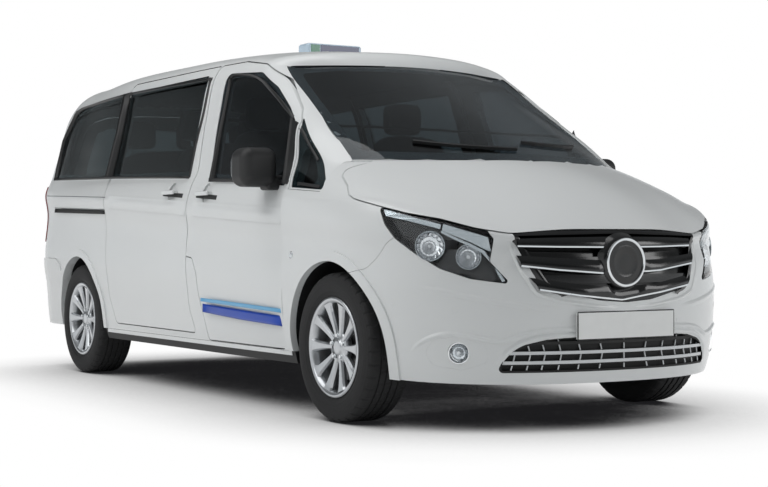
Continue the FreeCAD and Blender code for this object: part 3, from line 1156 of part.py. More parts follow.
pin_low = vec(KINGPIN_X, FRONT_AXLE_Y, ARM_TOP_SHARE * ROOF_HEIGHT + SEAT_GAP)
pin_high = vec(KINGPIN_X, FRONT_AXLE_Y, KINGPIN_TOP_SHARE * ROOF_HEIGHT)
hub_low = vec(KINGPIN_X - CARRIER_REACH, FRONT_AXLE_Y, HUB_HEIGHT)
hub_high = vec(FRONT_WHEEL_X - BEARING_GAP, FRONT_AXLE_Y, HUB_HEIGHT)
stub_high = vec(FRONT_WHEEL_X + STUB_LENGTH, FRONT_AXLE_Y, HUB_HEIGHT)
knuckle = joined([rod(pin_low, pin_high, KINGPIN_RADIUS), rod(hub_low, hub_high, CARRIER_RADIUS),
                  rod(hub_low, stub_high, STUB_RADIUS)])
save("knuckle_left", knuckle)
save("knuckle_right", mirrored(knuckle))

# Underbody.
exhaust_start, exhaust_turn, exhaust_end = [place(*shares) for shares in EXHAUST_SHARES]
exhaust = rod(exhaust_start, exhaust_turn, EXHAUST_RADIUS)
silencer = rod(exhaust_turn, exhaust_end, SILENCER_RADIUS)
hangers = [share_box(shares) for shares in HANGER_SHARES]
save("exhaust", joined([exhaust, silencer] + hangers))
save("fuel_tank", soften(share_box(TANK_SHARES), SEAT_ROUND / 2))

# Seats, dashboard and steering wheel.


def seat(cushion_shares, base_shares, back_x_shares, head_x_shares):
    cushion = soften(share_box(cushion_shares), SEAT_ROUND)
    back = prism(side_outline(FRONT_BACK_SHARES), "side", back_x_shares[0] * HALF_WIDTH, back_x_shares[1] * HALF_WIDTH)
    parts = [cushion, share_box(base_shares), soften(back, SEAT_ROUND / 3)]
    for middle_share in head_x_shares:
        shift = vec(middle_share * HALF_WIDTH, 0, 0)
        for piece in (soften(share_box(HEADREST_SHARES), HEADREST_ROUND), share_box(POST_SHARES)):
            piece.translate(shift)
            parts.append(piece)
    return joined(parts)


front_seat = seat(FRONT_SEAT_SHARES[0], FRONT_SEAT_SHARES[1], FRONT_BACK_X_SHARES, [FRONT_SEAT_X_SHARE])
save("front_seats", pair(front_seat))
bench = seat(BENCH_SHARES[0], BENCH_SHARES[1], BENCH_BACK_X_SHARES, BENCH_HEADREST_X_SHARES)
for number, shift_share in enumerate(REAR_ROW_Y_SHARES):
    row = bench.copy()
    row.translate(vec(0, shift_share * WHEELBASE, 0))
    save("bench_" + str(number + 2), row)
dashboard = prism(side_outline(DASHBOARD_SHARES), "side", DASHBOARD_X_SHARES[0] * HALF_WIDTH,
                  DASHBOARD_X_SHARES[1] * HALF_WIDTH)
tilt = math.radians(STEERING_TILT)
column_way = vec(0, math.cos(tilt), math.sin(tilt))
wheel_centre = place(*STEERING_CENTRE_SHARES)
hub_back = wheel_centre - column_way * HUB_DEPTH
column = rod(hub_back - column_way * (COLUMN_LENGTH + SEAT_GAP), hub_back - column_way * SEAT_GAP, COLUMN_RADIUS)
dashboard = dashboard.cut(slab(screen, -OVERRUN * 4, glass_depth + FRAME_THICKNESS + PANEL_GAP))
save("dashboard", largest(largest(dashboard).fuse(column)))
steering = [Part.makeTorus(STEERING_WHEEL_RADIUS, STEERING_RIM_RADIUS, wheel_centre, column_way),
            rod(hub_back, wheel_centre, HUB_RADIUS)]
for angle in STEERING_SPOKE_ANGLES:
    turn = math.radians(angle)
    up_way = vec(0, -math.sin(tilt), math.cos(tilt))
    arm = (vec(1, 0, 0) * math.cos(turn) + up_way * math.sin(turn)) * STEERING_WHEEL_RADIUS
    middle = wheel_centre - column_way * (HUB_DEPTH / 2)
    steering.append(rod(middle, wheel_centre + arm, STEERING_RIM_RADIUS))
save("steering_wheel", joined(steering))

# Mirrors, handles, roof sign, cowl and wipers.
cabin_skin = skin(cabin, 0)


def skin_x(y, z):
    """Half width of the cabin's skin at one place."""
    hits = cabin_skin.intersect(Part.Line(vec(0, y, z), vec(1, y, z)))[0]
    return max(hit.X for hit in hits)


mirror_foot = soften(share_box(MIRROR_FOOT_SHARES), MIRROR_FOOT_ROUND)
mirror = soften(share_box(MIRROR_SHARES), MIRROR_ROUND).fuse(mirror_foot).cut(slab(cabin, -SEAT_GAP, OVERRUN * 2))
save("mirror_left", largest(mirror))
save("mirror_right", mirrored(largest(mirror)))


def handle(shares):
    """Bar on two feet over a cup in the door's skin."""
    middle = place(0, shares[0], shares[1])
    reach = skin_x(middle.y, middle.z) + HANDLE_PROUD
    low = middle.z - HANDLE_HEIGHT / 2
    start = middle.y - HANDLE_LENGTH / 2
    end = middle.y + HANDLE_LENGTH / 2
    bar = soften(box(reach - HANDLE_THICKNESS, reach, start, end, low, low + HANDLE_HEIGHT), HANDLE_THICKNESS / 3)
    feet = [box(reach - HANDLE_PROUD - HANDLE_FOOT, reach - HANDLE_THICKNESS / 2, y, y + HANDLE_FOOT,
                low + HANDLE_HEIGHT / 4, low + HANDLE_HEIGHT * 3 / 4)
            for y in (start + HANDLE_FOOT / 4, end - HANDLE_FOOT * 5 / 4)]
    return largest(bar.fuse(feet).cut(slab(cabin, -SEAT_GAP, OVERRUN)))


front_handle = handle(FRONT_HANDLE_SHARES)
save("front_handle_left", front_handle)
save("front_handle_right", mirrored(front_handle))
save("sliding_handles", pair(handle(SLIDING_HANDLE_SHARES)))
sign = soften(share_box(SIGN_SHARES), SIGN_ROUND).cut(slab(cabin, -SEAT_GAP, OVERRUN * 2))
save("roof_sign", largest(sign))
cowl_front = foot_line(SCREEN_EDGE_SHARES[SCREEN_SIDE_START][0])
cowl = slab(front, COWL_DEPTH, COWL_DEPTH + COWL_THICKNESS)
cowl = cowl.common(prism(plan_band(cowl_front, COWL_LENGTH, 0), "top", 0, ROOF_HEIGHT))
save("cowl", largest(cowl))
wiper_skin = skin(screen, GLASS_SINK - SEAT_GAP - WIPER_BOW)


def wiper(points):
    """Bar of one section that lies along points on the windscreen."""
    places = [wiper_skin.value(down, across) for across, down in points]
    sections = []
    for number, (across, down) in enumerate(points):
        rise = wiper_skin.normal(down, across)
        rise *= WIPER_HEIGHT if rise.z > 0 else -WIPER_HEIGHT
        along = places[min(number + 1, len(points) - 1)] - places[max(number - 1, 0)]
        side = rise.cross(along).normalize() * (WIPER_WIDTH / 2)
        low = places[number]
        sections.append(Part.makePolygon([low - side, low + side, low + side + rise, low - side + rise, low - side]))
    return Part.makeLoft(sections, True, True)


save("wipers", *[wiper(points) for points in WIPER_SHARES])
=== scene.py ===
# %% [markdown]
# # A white van taxi, dressed from its CAD frame
#
# The CAD model gives every body its true shape, size and place. This lesson gives the surfaces
# their paint, glass, rubber and cloth, and adds what a CAD model leaves plain: lamps with
# reflectors behind clear covers, cast wheels, treaded tyres, padded seats and trim.
# All lengths are in metres. The vehicle faces -Y, its right side is at -X, and the ground is z = 0.

# %% Tools and the CAD frame
import json
import math

import bmesh
import bpy
from mathutils import Matrix, Vector
from mathutils.bvhtree import BVHTree

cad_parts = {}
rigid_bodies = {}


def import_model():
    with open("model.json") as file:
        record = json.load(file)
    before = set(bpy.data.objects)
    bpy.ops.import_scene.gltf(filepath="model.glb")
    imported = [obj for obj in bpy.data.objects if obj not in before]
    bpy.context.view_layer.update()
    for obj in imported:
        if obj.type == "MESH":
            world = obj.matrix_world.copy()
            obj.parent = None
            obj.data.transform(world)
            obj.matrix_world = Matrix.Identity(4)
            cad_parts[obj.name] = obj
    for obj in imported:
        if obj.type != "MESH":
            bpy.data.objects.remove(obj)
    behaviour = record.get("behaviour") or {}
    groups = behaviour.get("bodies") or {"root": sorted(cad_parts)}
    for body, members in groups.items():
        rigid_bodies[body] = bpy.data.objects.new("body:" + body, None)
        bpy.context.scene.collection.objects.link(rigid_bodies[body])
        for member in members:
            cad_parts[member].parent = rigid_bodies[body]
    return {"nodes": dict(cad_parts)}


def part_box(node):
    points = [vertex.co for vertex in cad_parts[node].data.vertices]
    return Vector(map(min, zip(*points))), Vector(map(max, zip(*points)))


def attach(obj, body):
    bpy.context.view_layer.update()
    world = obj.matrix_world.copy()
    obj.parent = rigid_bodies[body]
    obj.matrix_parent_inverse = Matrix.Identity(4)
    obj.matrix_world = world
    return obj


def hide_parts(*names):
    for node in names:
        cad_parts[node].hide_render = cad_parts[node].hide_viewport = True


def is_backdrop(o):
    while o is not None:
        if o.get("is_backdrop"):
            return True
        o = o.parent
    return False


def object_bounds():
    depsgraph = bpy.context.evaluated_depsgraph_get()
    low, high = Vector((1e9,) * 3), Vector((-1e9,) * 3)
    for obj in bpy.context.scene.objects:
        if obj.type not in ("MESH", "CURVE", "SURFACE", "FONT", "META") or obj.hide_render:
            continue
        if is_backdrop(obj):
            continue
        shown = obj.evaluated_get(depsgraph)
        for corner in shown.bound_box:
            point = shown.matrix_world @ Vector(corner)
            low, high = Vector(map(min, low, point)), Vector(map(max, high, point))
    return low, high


for thing in list(bpy.data.objects):
    bpy.data.objects.remove(thing, do_unlink=True)
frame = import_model()
cad_low, cad_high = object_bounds()
nodes = frame["nodes"]
MM = 0.001
UP = Vector((0, 0, 1))
print("CAD nodes:", len(nodes), "length:", round(cad_high.y - cad_low.y, 3))

# %% [markdown]
# ## The camera
#
# The photograph is 768 by 487 pixels. A camera could be placed by eye, but then small parts could
# not be laid by pixel. So its lens and standpoint come from the wheelbase and the wheels seen in
# the photograph, and `ray` turns a pixel into a line of sight.

# %% The photograph's camera
PHOTO_SIZE = (768, 487)
FOCAL_PIXELS = 1566.6
SENSOR = 36.0
STANDPOINT = Vector((-4.335, -7.6315, 0.798))
YAW = math.radians(-31.09)
PITCH = math.radians(-0.02)
ROLL = math.radians(-0.12)
NEAREST_SEEN, FURTHEST_SEEN = 0.1, 200

camera = bpy.data.objects.new("camera", bpy.data.cameras.new("camera"))
bpy.context.scene.collection.objects.link(camera)
camera.data.sensor_width = SENSOR
camera.data.lens = FOCAL_PIXELS / PHOTO_SIZE[0] * SENSOR
camera.data.clip_start = NEAREST_SEEN
camera.data.clip_end = FURTHEST_SEEN
camera.location = STANDPOINT
upright = Matrix.Rotation(math.pi / 2 + PITCH, 4, "X")
turn = Matrix.Rotation(YAW, 4, "Z") @ upright @ Matrix.Rotation(ROLL, 4, "Z")
camera.rotation_euler = turn.to_euler()
bpy.context.scene.camera = camera
print("Lens:", round(camera.data.lens, 1), "mm")


# %% A line of sight
def ray(pixel):
    """Direction from the standpoint through one pixel of the photograph."""
    x = (pixel[0] - PHOTO_SIZE[0] / 2) / FOCAL_PIXELS
    y = (PHOTO_SIZE[1] / 2 - pixel[1]) / FOCAL_PIXELS
    return (turn.to_3x3() @ Vector((x, y, -1))).normalized()


# %% [markdown]
# ## Making a material
#
# Each material is one shader with its colour, gloss and fine surface. Colours are written as they
# look on screen and turned into the renderer's linear values. A noise, or crossed waves for
# cloth, gives a second tone and the relief, at the size of the real surface.


# %% Colours and nodes
def colour(code):
    """Linear colour from a hex code as seen on screen."""
    values = [int(code[i:i + 2], 16) / 255 for i in (1, 3, 5)]
    return tuple(v / 12.92 if v <= 0.04045 else ((v + 0.055) / 1.055) ** 2.4 for v in values) + (1.0,)


def add_node(owner, kind, *values, **settings):
    """A new node in a material or world. Values fill its sockets in order, settings by name."""
    node = owner.node_tree.nodes.new(kind)
    named = {socket.name.replace(" ", "_"): socket for socket in node.inputs}
    pairs = list(zip(node.inputs, values))
    for name, value in settings.items():
        if name in named:
            pairs.append((named[name], value))
        else:
            setattr(node, name, value)
    for socket, value in pairs:
        if isinstance(value, bpy.types.NodeSocket):
            owner.node_tree.links.new(value, socket)
        else:
            socket.default_value = value
    return node


# %% One finish
def new_material(name, code, roughness, **settings):
    """A material of one colour, with its settings on the shader's own sockets."""
    material = bpy.data.materials.new(name)
    material.use_nodes = True
    shader = material.node_tree.nodes["Principled BSDF"]
    shader.inputs["Base Color"].default_value = colour(code)
    shader.inputs["Roughness"].default_value = roughness
    for key, value in settings.items():
        shader.inputs[key.replace("_", " ")].default_value = value
    return material, shader


def surface_of(material, shader, pattern, code, other, bump, depth):
    """Lays a pattern over a shader as a second tone and as relief."""
    links = material.node_tree.links
    if other:
        mix = add_node(material, "ShaderNodeMixRGB", Fac=pattern, Color1=colour(code), Color2=colour(other))
        links.new(mix.outputs["Color"], shader.inputs["Base Color"])
    if bump:
        relief = add_node(material, "ShaderNodeBump", Strength=bump, Distance=depth, Height=pattern)
        links.new(relief.outputs["Normal"], shader.inputs["Normal"])


def make_material(name, code, roughness, other=None, grain=0.0, bump=0.0, depth=0.0, **settings):
    """A finish with a noise `grain` wide, which mixes in the `other` tone and raises it by `depth`."""
    material, shader = new_material(name, code, roughness, **settings)
    place = add_node(material, "ShaderNodeTexCoord").outputs["Object"]
    noise = add_node(material, "ShaderNodeTexNoise", Vector=place, Scale=1 / grain, Detail=4.0)
    surface_of(material, shader, noise.outputs["Fac"], code, other, bump, depth)
    return material


# %% Woven cloth
WAVE_PERIOD = math.pi / 10
DRAWN_COARSER = 1.885
YARN_WAVER = 0.6
YARN_HEIGHT = 0.6 * MM


def make_cloth(name, code, other, pitch):
    """Woven seat cloth with a soft sheen. The yarns are drawn coarser than woven, so that they show."""
    material, shader = new_material(name, code, 0.9, Sheen_Weight=0.35, Sheen_Roughness=0.4)
    place = add_node(material, "ShaderNodeTexCoord").outputs["Object"]
    bands = []
    for turned in ((0, 0, 0), (math.pi / 2, 0, math.pi / 2)):
        mapped = add_node(material, "ShaderNodeMapping", Vector=place, Rotation=turned)
        wave = add_node(material, "ShaderNodeTexWave", Vector=mapped.outputs["Vector"],
                        Scale=WAVE_PERIOD / (pitch * DRAWN_COARSER), Distortion=YARN_WAVER, Detail=1.0)
        bands.append(wave.outputs["Fac"])
    weave = add_node(material, "ShaderNodeMath", *bands, operation="MULTIPLY")
    surface_of(material, shader, weave.outputs[0], code, other, 0.5, YARN_HEIGHT)
    return material


# %% [markdown]
# ## Paint, glass and trim
#
# The body is steel in sprayed enamel, the panes are tinted safety glass, and the trim is moulded
# plastic and rubber. One grey for all of it would look like a toy, so each gets its own gloss.

# %% Paint and glass
# White enamel under clear lacquer: smooth, with a soft mirror that spreads at its edges.
paint = make_material("white_paint", "#E4E6E6", 0.45, other="#DFE1E1", grain=600 * MM, bump=0.04,
                      depth=0.2 * MM, Specular_IOR_Level=0.25, Coat_Weight=0.7, Coat_Roughness=0.16)
# Tinted float glass: clear and dark. Its gloss is matched to the dark panes of the photograph.
side_glass = make_material("dark_side_glass", "#5F6A6D", 0.0, grain=800 * MM, bump=0.02, depth=0.3 * MM,
                           Transmission_Weight=1.0, IOR=1.3)
screen_glass = make_material("windscreen_glass", "#636C71", 0.0, grain=900 * MM, bump=0.02,
                             depth=0.3 * MM, Transmission_Weight=1.0, IOR=1.28)

# %% Plastic and rubber
# Grained polypropylene, moulded: black and dull, with a fine leather-like grain.
black_plastic = make_material("black_grained_plastic", "#1B1C1D", 0.55, other="#141516",
                              grain=1.6 * MM, bump=0.35, depth=0.2 * MM)
# High-gloss ABS: a deep black that mirrors its surroundings.
gloss_black = make_material("gloss_black_trim", "#0B0C0D", 0.18, other="#101112", grain=300 * MM,
                            bump=0.02, depth=0.1 * MM, Coat_Weight=0.1, Coat_Roughness=0.05)
# Fired ceramic print round a pane: black and half matt.
window_border = make_material("window_border", "#0D0E0F", 0.4, other="#111213", grain=10 * MM,
                              bump=0.05, depth=0.1 * MM)
# Vulcanised tyre rubber: dark grey, dull, a little dusty.
rubber = make_material("tyre_rubber", "#1A1A1B", 0.78, other="#242425", grain=12 * MM, bump=0.3,
                       depth=0.3 * MM)
# Extruded seal rubber: nearly black.
seal_rubber = make_material("seal_rubber", "#0F1010", 0.7, other="#161717", grain=4 * MM, bump=0.2,
                            depth=0.2 * MM)

# %% [markdown]
# ## Metals
#
# Bare and painted metals differ in how far they mirror. Cast parts are broken up by a grain of
# some millimetres, and plated trim is smooth.

# %% Metals
# Cast aluminium under lacquer: bright silver with a soft mirror.
alloy = make_material("cast_alloy", "#C3C6C9", 0.3, other="#B4B7BA", grain=20 * MM, bump=0.05,
                      depth=0.2 * MM, Metallic=0.9, Coat_Weight=0.5, Coat_Roughness=0.08)
# Grey metal paint, half matt.
alloy_dark = make_material("painted_wheel_well", "#6B6E72", 0.45, other="#5C5F63", grain=20 * MM,
                           bump=0.05, depth=0.2 * MM, Metallic=0.7)
# Chromium plate on plastic: a clear mirror.
bright_trim = make_material("bright_trim", "#D9DCDE", 0.12, other="#CDD0D2", grain=50 * MM, bump=0.02,
                            depth=0.1 * MM, Metallic=1.0)
# Silver paint with fine flakes on the lower grille's bars.
silver_paint = make_material("silver_grille_paint", "#D2D5D7", 0.3, other="#C8CBCD", grain=30 * MM,
                             bump=0.05, depth=0.1 * MM, Metallic=0.2, Coat_Weight=0.4)
# Silvered glass of the door mirrors.
mirror_face = make_material("mirror_face", "#DDE2E4", 0.02, other="#D5DADC", grain=300 * MM,
                            Metallic=1.0)
# Sprayed bitumen under the floor: black and lumpy.
under_paint = make_material("underbody_coat", "#17181A", 0.7, other="#202124", grain=30 * MM, bump=0.4,
                            depth=1 * MM)
# Rolled steel with the first brown of rust.
steel = make_material("bare_steel", "#77787A", 0.4, other="#5F5D5B", grain=20 * MM, bump=0.2,
                      depth=0.4 * MM, Metallic=0.9)
# Sand-cast iron and aluminium: grey and rough.
cast = make_material("cast_engine", "#55575A", 0.55, other="#46484B", grain=6 * MM, bump=0.4,
                     depth=0.5 * MM, Metallic=0.7)

# %% [markdown]
# ## Lamps, plates and signs
#
# A lamp is a clear moulded cover over a black housing with silvered bowls. The plates are painted
# aluminium, and the signs and stripes are printed film under a gloss coat.

# %% Lamp parts
# Vacuum-coated aluminium inside the lamps: almost a mirror.
reflector = make_material("lamp_reflector", "#E4E6E8", 0.08, other="#C9CCCF", grain=20 * MM, bump=0.05,
                          depth=0.2 * MM, Metallic=1.0)
# Clear polycarbonate, moulded thin: it bends light little, so the lamp's inside shows.
lamp_cover = make_material("clear_lamp_cover", "#F4F6F7", 0.0, grain=500 * MM, bump=0.01,
                           depth=0.2 * MM, Transmission_Weight=1.0, IOR=1.2)
# Dark moulded housing.
lamp_black = make_material("lamp_housing", "#232629", 0.35, other="#1B1D20", grain=10 * MM, bump=0.05,
                           depth=0.2 * MM)
# Ribbed light guide: pale, with bright and dull stripes.
lamp_grey = make_material("lamp_light_guide", "#C6CDD1", 0.2, other="#7D868B", grain=6 * MM, bump=0.8,
                          depth=1.5 * MM, Metallic=0.6)
# Red and pale acrylic of the tail lamps.
red_lamp = make_material("red_lamp", "#A3120F", 0.12, other="#8A0D0B", grain=10 * MM, bump=0.1,
                         depth=0.3 * MM, Coat_Weight=0.8, Transmission_Weight=0.25)
clear_lamp = make_material("pale_lamp", "#C9CDD0", 0.15, other="#B5B9BC", grain=6 * MM, bump=0.2,
                           depth=0.3 * MM, Coat_Weight=0.8)

# %% Plates, sign and stripes
# White reflective film on a pressed plate.
plate_white = make_material("plate_face", "#F0F1F0", 0.4, other="#E8E9E8", grain=50 * MM, bump=0.03,
                            depth=0.1 * MM)
# Backlit acrylic of the roof sign, unlit.
sign_blue = make_material("sign_blue", "#17285E", 0.3, other="#132250", grain=40 * MM, bump=0.03,
                          depth=0.1 * MM, Coat_Weight=0.5)
sign_pale = make_material("sign_pale", "#C9DCEB", 0.3, other="#BBD0E0", grain=40 * MM, bump=0.03,
                          depth=0.1 * MM, Coat_Weight=0.5)
sign_green = make_material("sign_green", "#1E7F5C", 0.3, other="#196B4E", grain=30 * MM, bump=0.03,
                           depth=0.1 * MM, Coat_Weight=0.5)
# Cut vinyl film on the doors.
stripe_blue = make_material("stripe_blue", "#0B46B8", 0.35, other="#0A3FA6", grain=200 * MM, bump=0.02,
                            depth=0.1 * MM, Coat_Weight=0.1, Coat_Roughness=0.1)
stripe_pale = make_material("stripe_pale_blue", "#6FB3DE", 0.35, other="#66A9D4", grain=200 * MM,
                            bump=0.02, depth=0.1 * MM, Coat_Weight=0.1, Coat_Roughness=0.1)

# %% [markdown]
# ## The cabin's finishes
#
# Behind dark glass the cabin is a set of dark tones: slush-moulded skin on the dashboard, woven
# cloth on the seats, felt under the roof and grained panels on the walls.

# %% Cabin finishes
# Slush-moulded PVC skin of the dashboard: nearly black, with a fine grain.
dash_plastic = make_material("dashboard_skin", "#1F2022", 0.6, other="#191A1B", grain=2 * MM, bump=0.4,
                             depth=0.3 * MM)
# Woven polyester on the seats: dark grey yarn crossed by a paler one.
seat_cloth = make_cloth("seat_cloth", "#2B2D31", "#3A3D42", 1.6 * MM)
# A coarser and darker weave on the seats' sides.
seat_side = make_cloth("seat_side_cloth", "#1F2023", "#2A2C30", 2.2 * MM)
# Needled polyester felt under the roof: soft and dull.
headlining = make_material("headlining_cloth", "#2C2E30", 0.95, other="#323436", grain=4 * MM,
                           bump=0.2, depth=0.3 * MM)
# Moulded polypropylene on the walls and doors, grained and half matt.
cabin_trim = make_material("cabin_trim", "#232426", 0.65, other="#1C1D1F", grain=2 * MM, bump=0.4,
                           depth=0.3 * MM)

# %% A finish for each CAD node
FINISHES = {
    "bench_2": seat_cloth, "bench_3": seat_cloth, "front_seats": seat_cloth,
    "arch_liners": black_plastic, "cowl": black_plastic, "dashboard": dash_plastic, "sills": black_plastic,
    "steering_wheel": dash_plastic, "wipers": black_plastic, "fuel_tank": black_plastic,
    "lower_grilles": seal_rubber, "grille": gloss_black, "mirror_left": black_plastic,
    "mirror_right": black_plastic, "engine_block": cast, "radiator": alloy_dark, "exhaust": steel,
    "floor_pan": under_paint, "front_frame": under_paint, "front_suspension": under_paint,
    "rear_suspension": under_paint, "knuckle_left": cast, "knuckle_right": cast,
    "front_plate": plate_white, "rear_plate": plate_white, "roof_sign": sign_pale,
    "windscreen": screen_glass, "tail_lamps": red_lamp,
    "front_window_left": screen_glass, "front_window_right": screen_glass,
    "side_windows": side_glass, "rear_window": side_glass,
}
for name in nodes:
    slots = nodes[name].data.materials
    slots.clear()
    slots.append(FINISHES.get(name, paint))
print("Materials:", len(bpy.data.materials))

# %% [markdown]
# ## Painted outside, trimmed inside
#
# A body panel is one solid in the CAD model, but on the vehicle its inner side is covered. Faces
# that look into the cabin take the trim, and those under the roof the felt. It is told by each
# face's place and direction, so the CAD mesh stays as it is.

# %% Faces that look into the cabin
TRIMMED = ("body_shell", "front_door_left", "front_door_right", "sliding_door_left", "sliding_door_right")
CABIN_FRONT, CABIN_BACK = -0.72, 2.2
CABIN_SILL, CABIN_WALL = 0.45, 0.85
ROOF_UNDERSIDE = 1.6
BULKHEAD_FRONT, BULKHEAD_TOP = -1.45, 1.05
CENTRE_CLEAR = 0.3
LOOKS_IN, LOOKS_DOWN = -0.2, -0.5
TRIM_SLOT, FELT_SLOT = 1, 2
FOG_PANEL_FROM = 0.59


def cabin_slot(name, middle, normal):
    """Material slot of one face of a panel: outside, trim or felt."""
    inward = normal.x * math.copysign(1, middle.x) < LOOKS_IN and abs(middle.x) > CENTRE_CLEAR
    behind = middle.y > CABIN_FRONT
    if middle.z < CABIN_SILL:
        return 0
    if normal.z < LOOKS_DOWN and middle.z > ROOF_UNDERSIDE and behind:
        return FELT_SLOT
    if inward and (name != "body_shell" or behind):
        return TRIM_SLOT
    low_down = middle.z < BULKHEAD_TOP and abs(middle.x) < CABIN_WALL
    if name == "body_shell" and BULKHEAD_FRONT < middle.y < CABIN_BACK and low_down:
        return TRIM_SLOT
    return 0


# %% Slots of the panels
for name in TRIMMED:
    mesh = nodes[name].data
    for material in (cabin_trim, headlining):
        mesh.materials.append(material)
    for polygon in mesh.polygons:
        polygon.material_index = cabin_slot(name, polygon.center, polygon.normal)
grille_mesh = nodes["lower_grilles"].data
grille_mesh.materials.append(paint)
for polygon in grille_mesh.polygons:
    if abs(polygon.center.x) > FOG_PANEL_FROM:
        polygon.material_index = 1
print("Trimmed panels:", len(TRIMMED))

# %% [markdown]
# ## Helpers for new pieces
#
# A new piece is a mesh from points and faces that rides on a CAD body. Where it sits is measured
# on the CAD surface with a search tree, so it touches what carries it from every side.


# %% A piece on its body
def new_piece(name, points, faces, material, body, smooth=True):
    """A mesh that rides on a CAD body."""
    mesh = bpy.data.meshes.new(name)
    mesh.from_pydata([tuple(p) for p in points], [], faces)
    mesh.validate()
    mesh.update()
    piece = bpy.data.objects.new(name, mesh)
    bpy.context.scene.collection.objects.link(piece)
    mesh.materials.append(material)
    for polygon in mesh.polygons:
        polygon.use_smooth = smooth
    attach(piece, body)
    return piece


def modify(piece, kind, **settings):
    """Adds a modifier with its settings."""
    modifier = piece.modifiers.new(kind.lower(), kind)
    for key, value in settings.items():
        setattr(modifier, key, value)
    return piece


def tidy_mesh(piece, distance=0.05 * MM):
    """Joins points that meet and drops loose ones."""
    work = bmesh.new()
    work.from_mesh(piece.data)
    bmesh.ops.remove_doubles(work, verts=work.verts, dist=distance)
    bmesh.ops.delete(work, geom=[v for v in work.verts if not v.link_faces], context="VERTS")
    work.to_mesh(piece.data)
    work.free()
    return piece


# %% Finding the CAD surface
trees = {}


def surface(name):
    """Search tree of a CAD node's faces."""
    if name not in trees:
        mesh = nodes[name].data
        trees[name] = BVHTree.FromPolygons([v.co for v in mesh.vertices], [p.vertices for p in mesh.polygons])
    return trees[name]


def drop(name, start, way):
    """Point and normal where a line first meets a CAD node, or None."""
    way = Vector(way).normalized()
    spot, normal = surface(name).ray_cast(Vector(start), way)[:2]
    if spot is None:
        return None
    return spot, (-normal if normal.dot(way) > 0 else normal)


def nearest(names, pixel):
    """Distance and normal of the first CAD face seen at a pixel, among some nodes."""
    best = None
    for name in names:
        spot, normal, _, distance = surface(name).ray_cast(STANDPOINT, ray(pixel))
        if spot is not None and (best is None or distance < best[0]):
            best = (distance, -normal if normal.dot(ray(pixel)) > 0 else normal)
    return best


# %% Round forms
def between_rings(rings, steps, start=0, turned_over=False):
    """Faces that join each ring of points to the next."""
    faces = []
    for ring in range(rings - 1):
        for i in range(steps):
            a = start + ring * steps + i
            b = start + ring * steps + (i + 1) % steps
            faces.append((a, a + steps, b + steps, b) if turned_over else (a, b, b + steps, a + steps))
    return faces


def circle(middle, way, radius, steps, shift=0.0):
    """Points round a middle, in the plane that a direction looks out of."""
    side = way.cross(UP).normalized()
    up = side.cross(way).normalized()
    angles = [(i + shift) * 2 * math.pi / steps for i in range(steps)]
    return [middle + (side * math.cos(angle) + up * math.sin(angle)) * radius for angle in angles]


def turned(name, profile, middle, way, steps, material, body, capped=True, turned_over=False, smooth=True):
    """A round piece from (radius, out) points, turned about a direction."""
    points = []
    for radius, out in profile:
        points += circle(middle + way * out, way, radius, steps)
    faces = between_rings(len(profile), steps, turned_over=turned_over)
    if capped:
        cap = tuple(range(steps * (len(profile) - 1), steps * len(profile)))
        faces.append(cap[::-1] if turned_over else cap)
    return new_piece(name, points, faces, material, body, smooth)


# %% Bars
EDGE_SHARE = 0.3
RING_HEIGHT_SHARE = 0.7


def bar(name, spots, width, height, material, body, sink=0.0, closed=False):
    """A bar laid along (point, normal) pairs, standing on them, with its two outer edges cut."""
    edge = min(width, height) * EDGE_SHARE
    half = width / 2
    outline = [(-half, 0), (-half, height - edge), (-half + edge, height), (half - edge, height),
               (half, height - edge), (half, 0)]
    points, faces = [], []
    count, size = len(spots), len(outline)
    for i, (spot, normal) in enumerate(spots):
        before = spots[i - 1][0] if i or closed else spot
        after = spots[(i + 1) % count][0] if i + 1 < count or closed else spot
        side = (after - before).cross(normal).normalized()
        points += [spot + side * a + normal * (b - sink) for a, b in outline]
    for i in range(count if closed else count - 1):
        j = (i + 1) % count
        for k in range(size):
            m = (k + 1) % size
            faces.append((i * size + k, j * size + k, j * size + m, i * size + m))
    if not closed:
        faces.append(tuple(range(size)))
        faces.append(tuple(range((count - 1) * size, count * size))[::-1])
    return new_piece(name, points, faces, material, body, smooth=False)


def ring_round(name, middle, way, radius, thick, material, body, steps=48):
    """A ring of bar round a middle."""
    spots = [(spot, way) for spot in circle(middle, way, radius, steps)]
    return bar(name, spots, thick, thick * RING_HEIGHT_SHARE, material, body, closed=True)


# %% Mirrored pieces
COPIED_SETTINGS = ("width", "segments", "levels", "render_levels", "thickness", "offset", "limit_method")


def mirrored(piece, name, body):
    """The same piece on the vehicle's other side."""
    mesh = piece.data.copy()
    mesh.transform(Matrix.Scale(-1, 4, (1, 0, 0)))
    mesh.flip_normals()
    other = bpy.data.objects.new(name, mesh)
    bpy.context.scene.collection.objects.link(other)
    for modifier in piece.modifiers:
        copy = other.modifiers.new(modifier.name, modifier.type)
        for key in COPIED_SETTINGS:
            if hasattr(modifier, key):
                setattr(copy, key, getattr(modifier, key))
    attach(other, body)
    return other


def to_left(piece, body="body"):
    """Mirrors a right-hand piece, with its name and body."""
    return mirrored(piece, piece.name.replace("right", "left"), body.replace("right", "left"))


def made(step):
    """Says how many meshes there are after a step."""
    print(step + ":", len(bpy.data.meshes), "meshes so far")


# %% [markdown]
# ## Tyres
#
# A tyre is turned from the section of one side, mirrored for the other, with four grooves round
# the tread. The slots across the shoulders are cut by pulling in every sixth row of points. An
# image of a tread would be flat, and this shows in the outline.

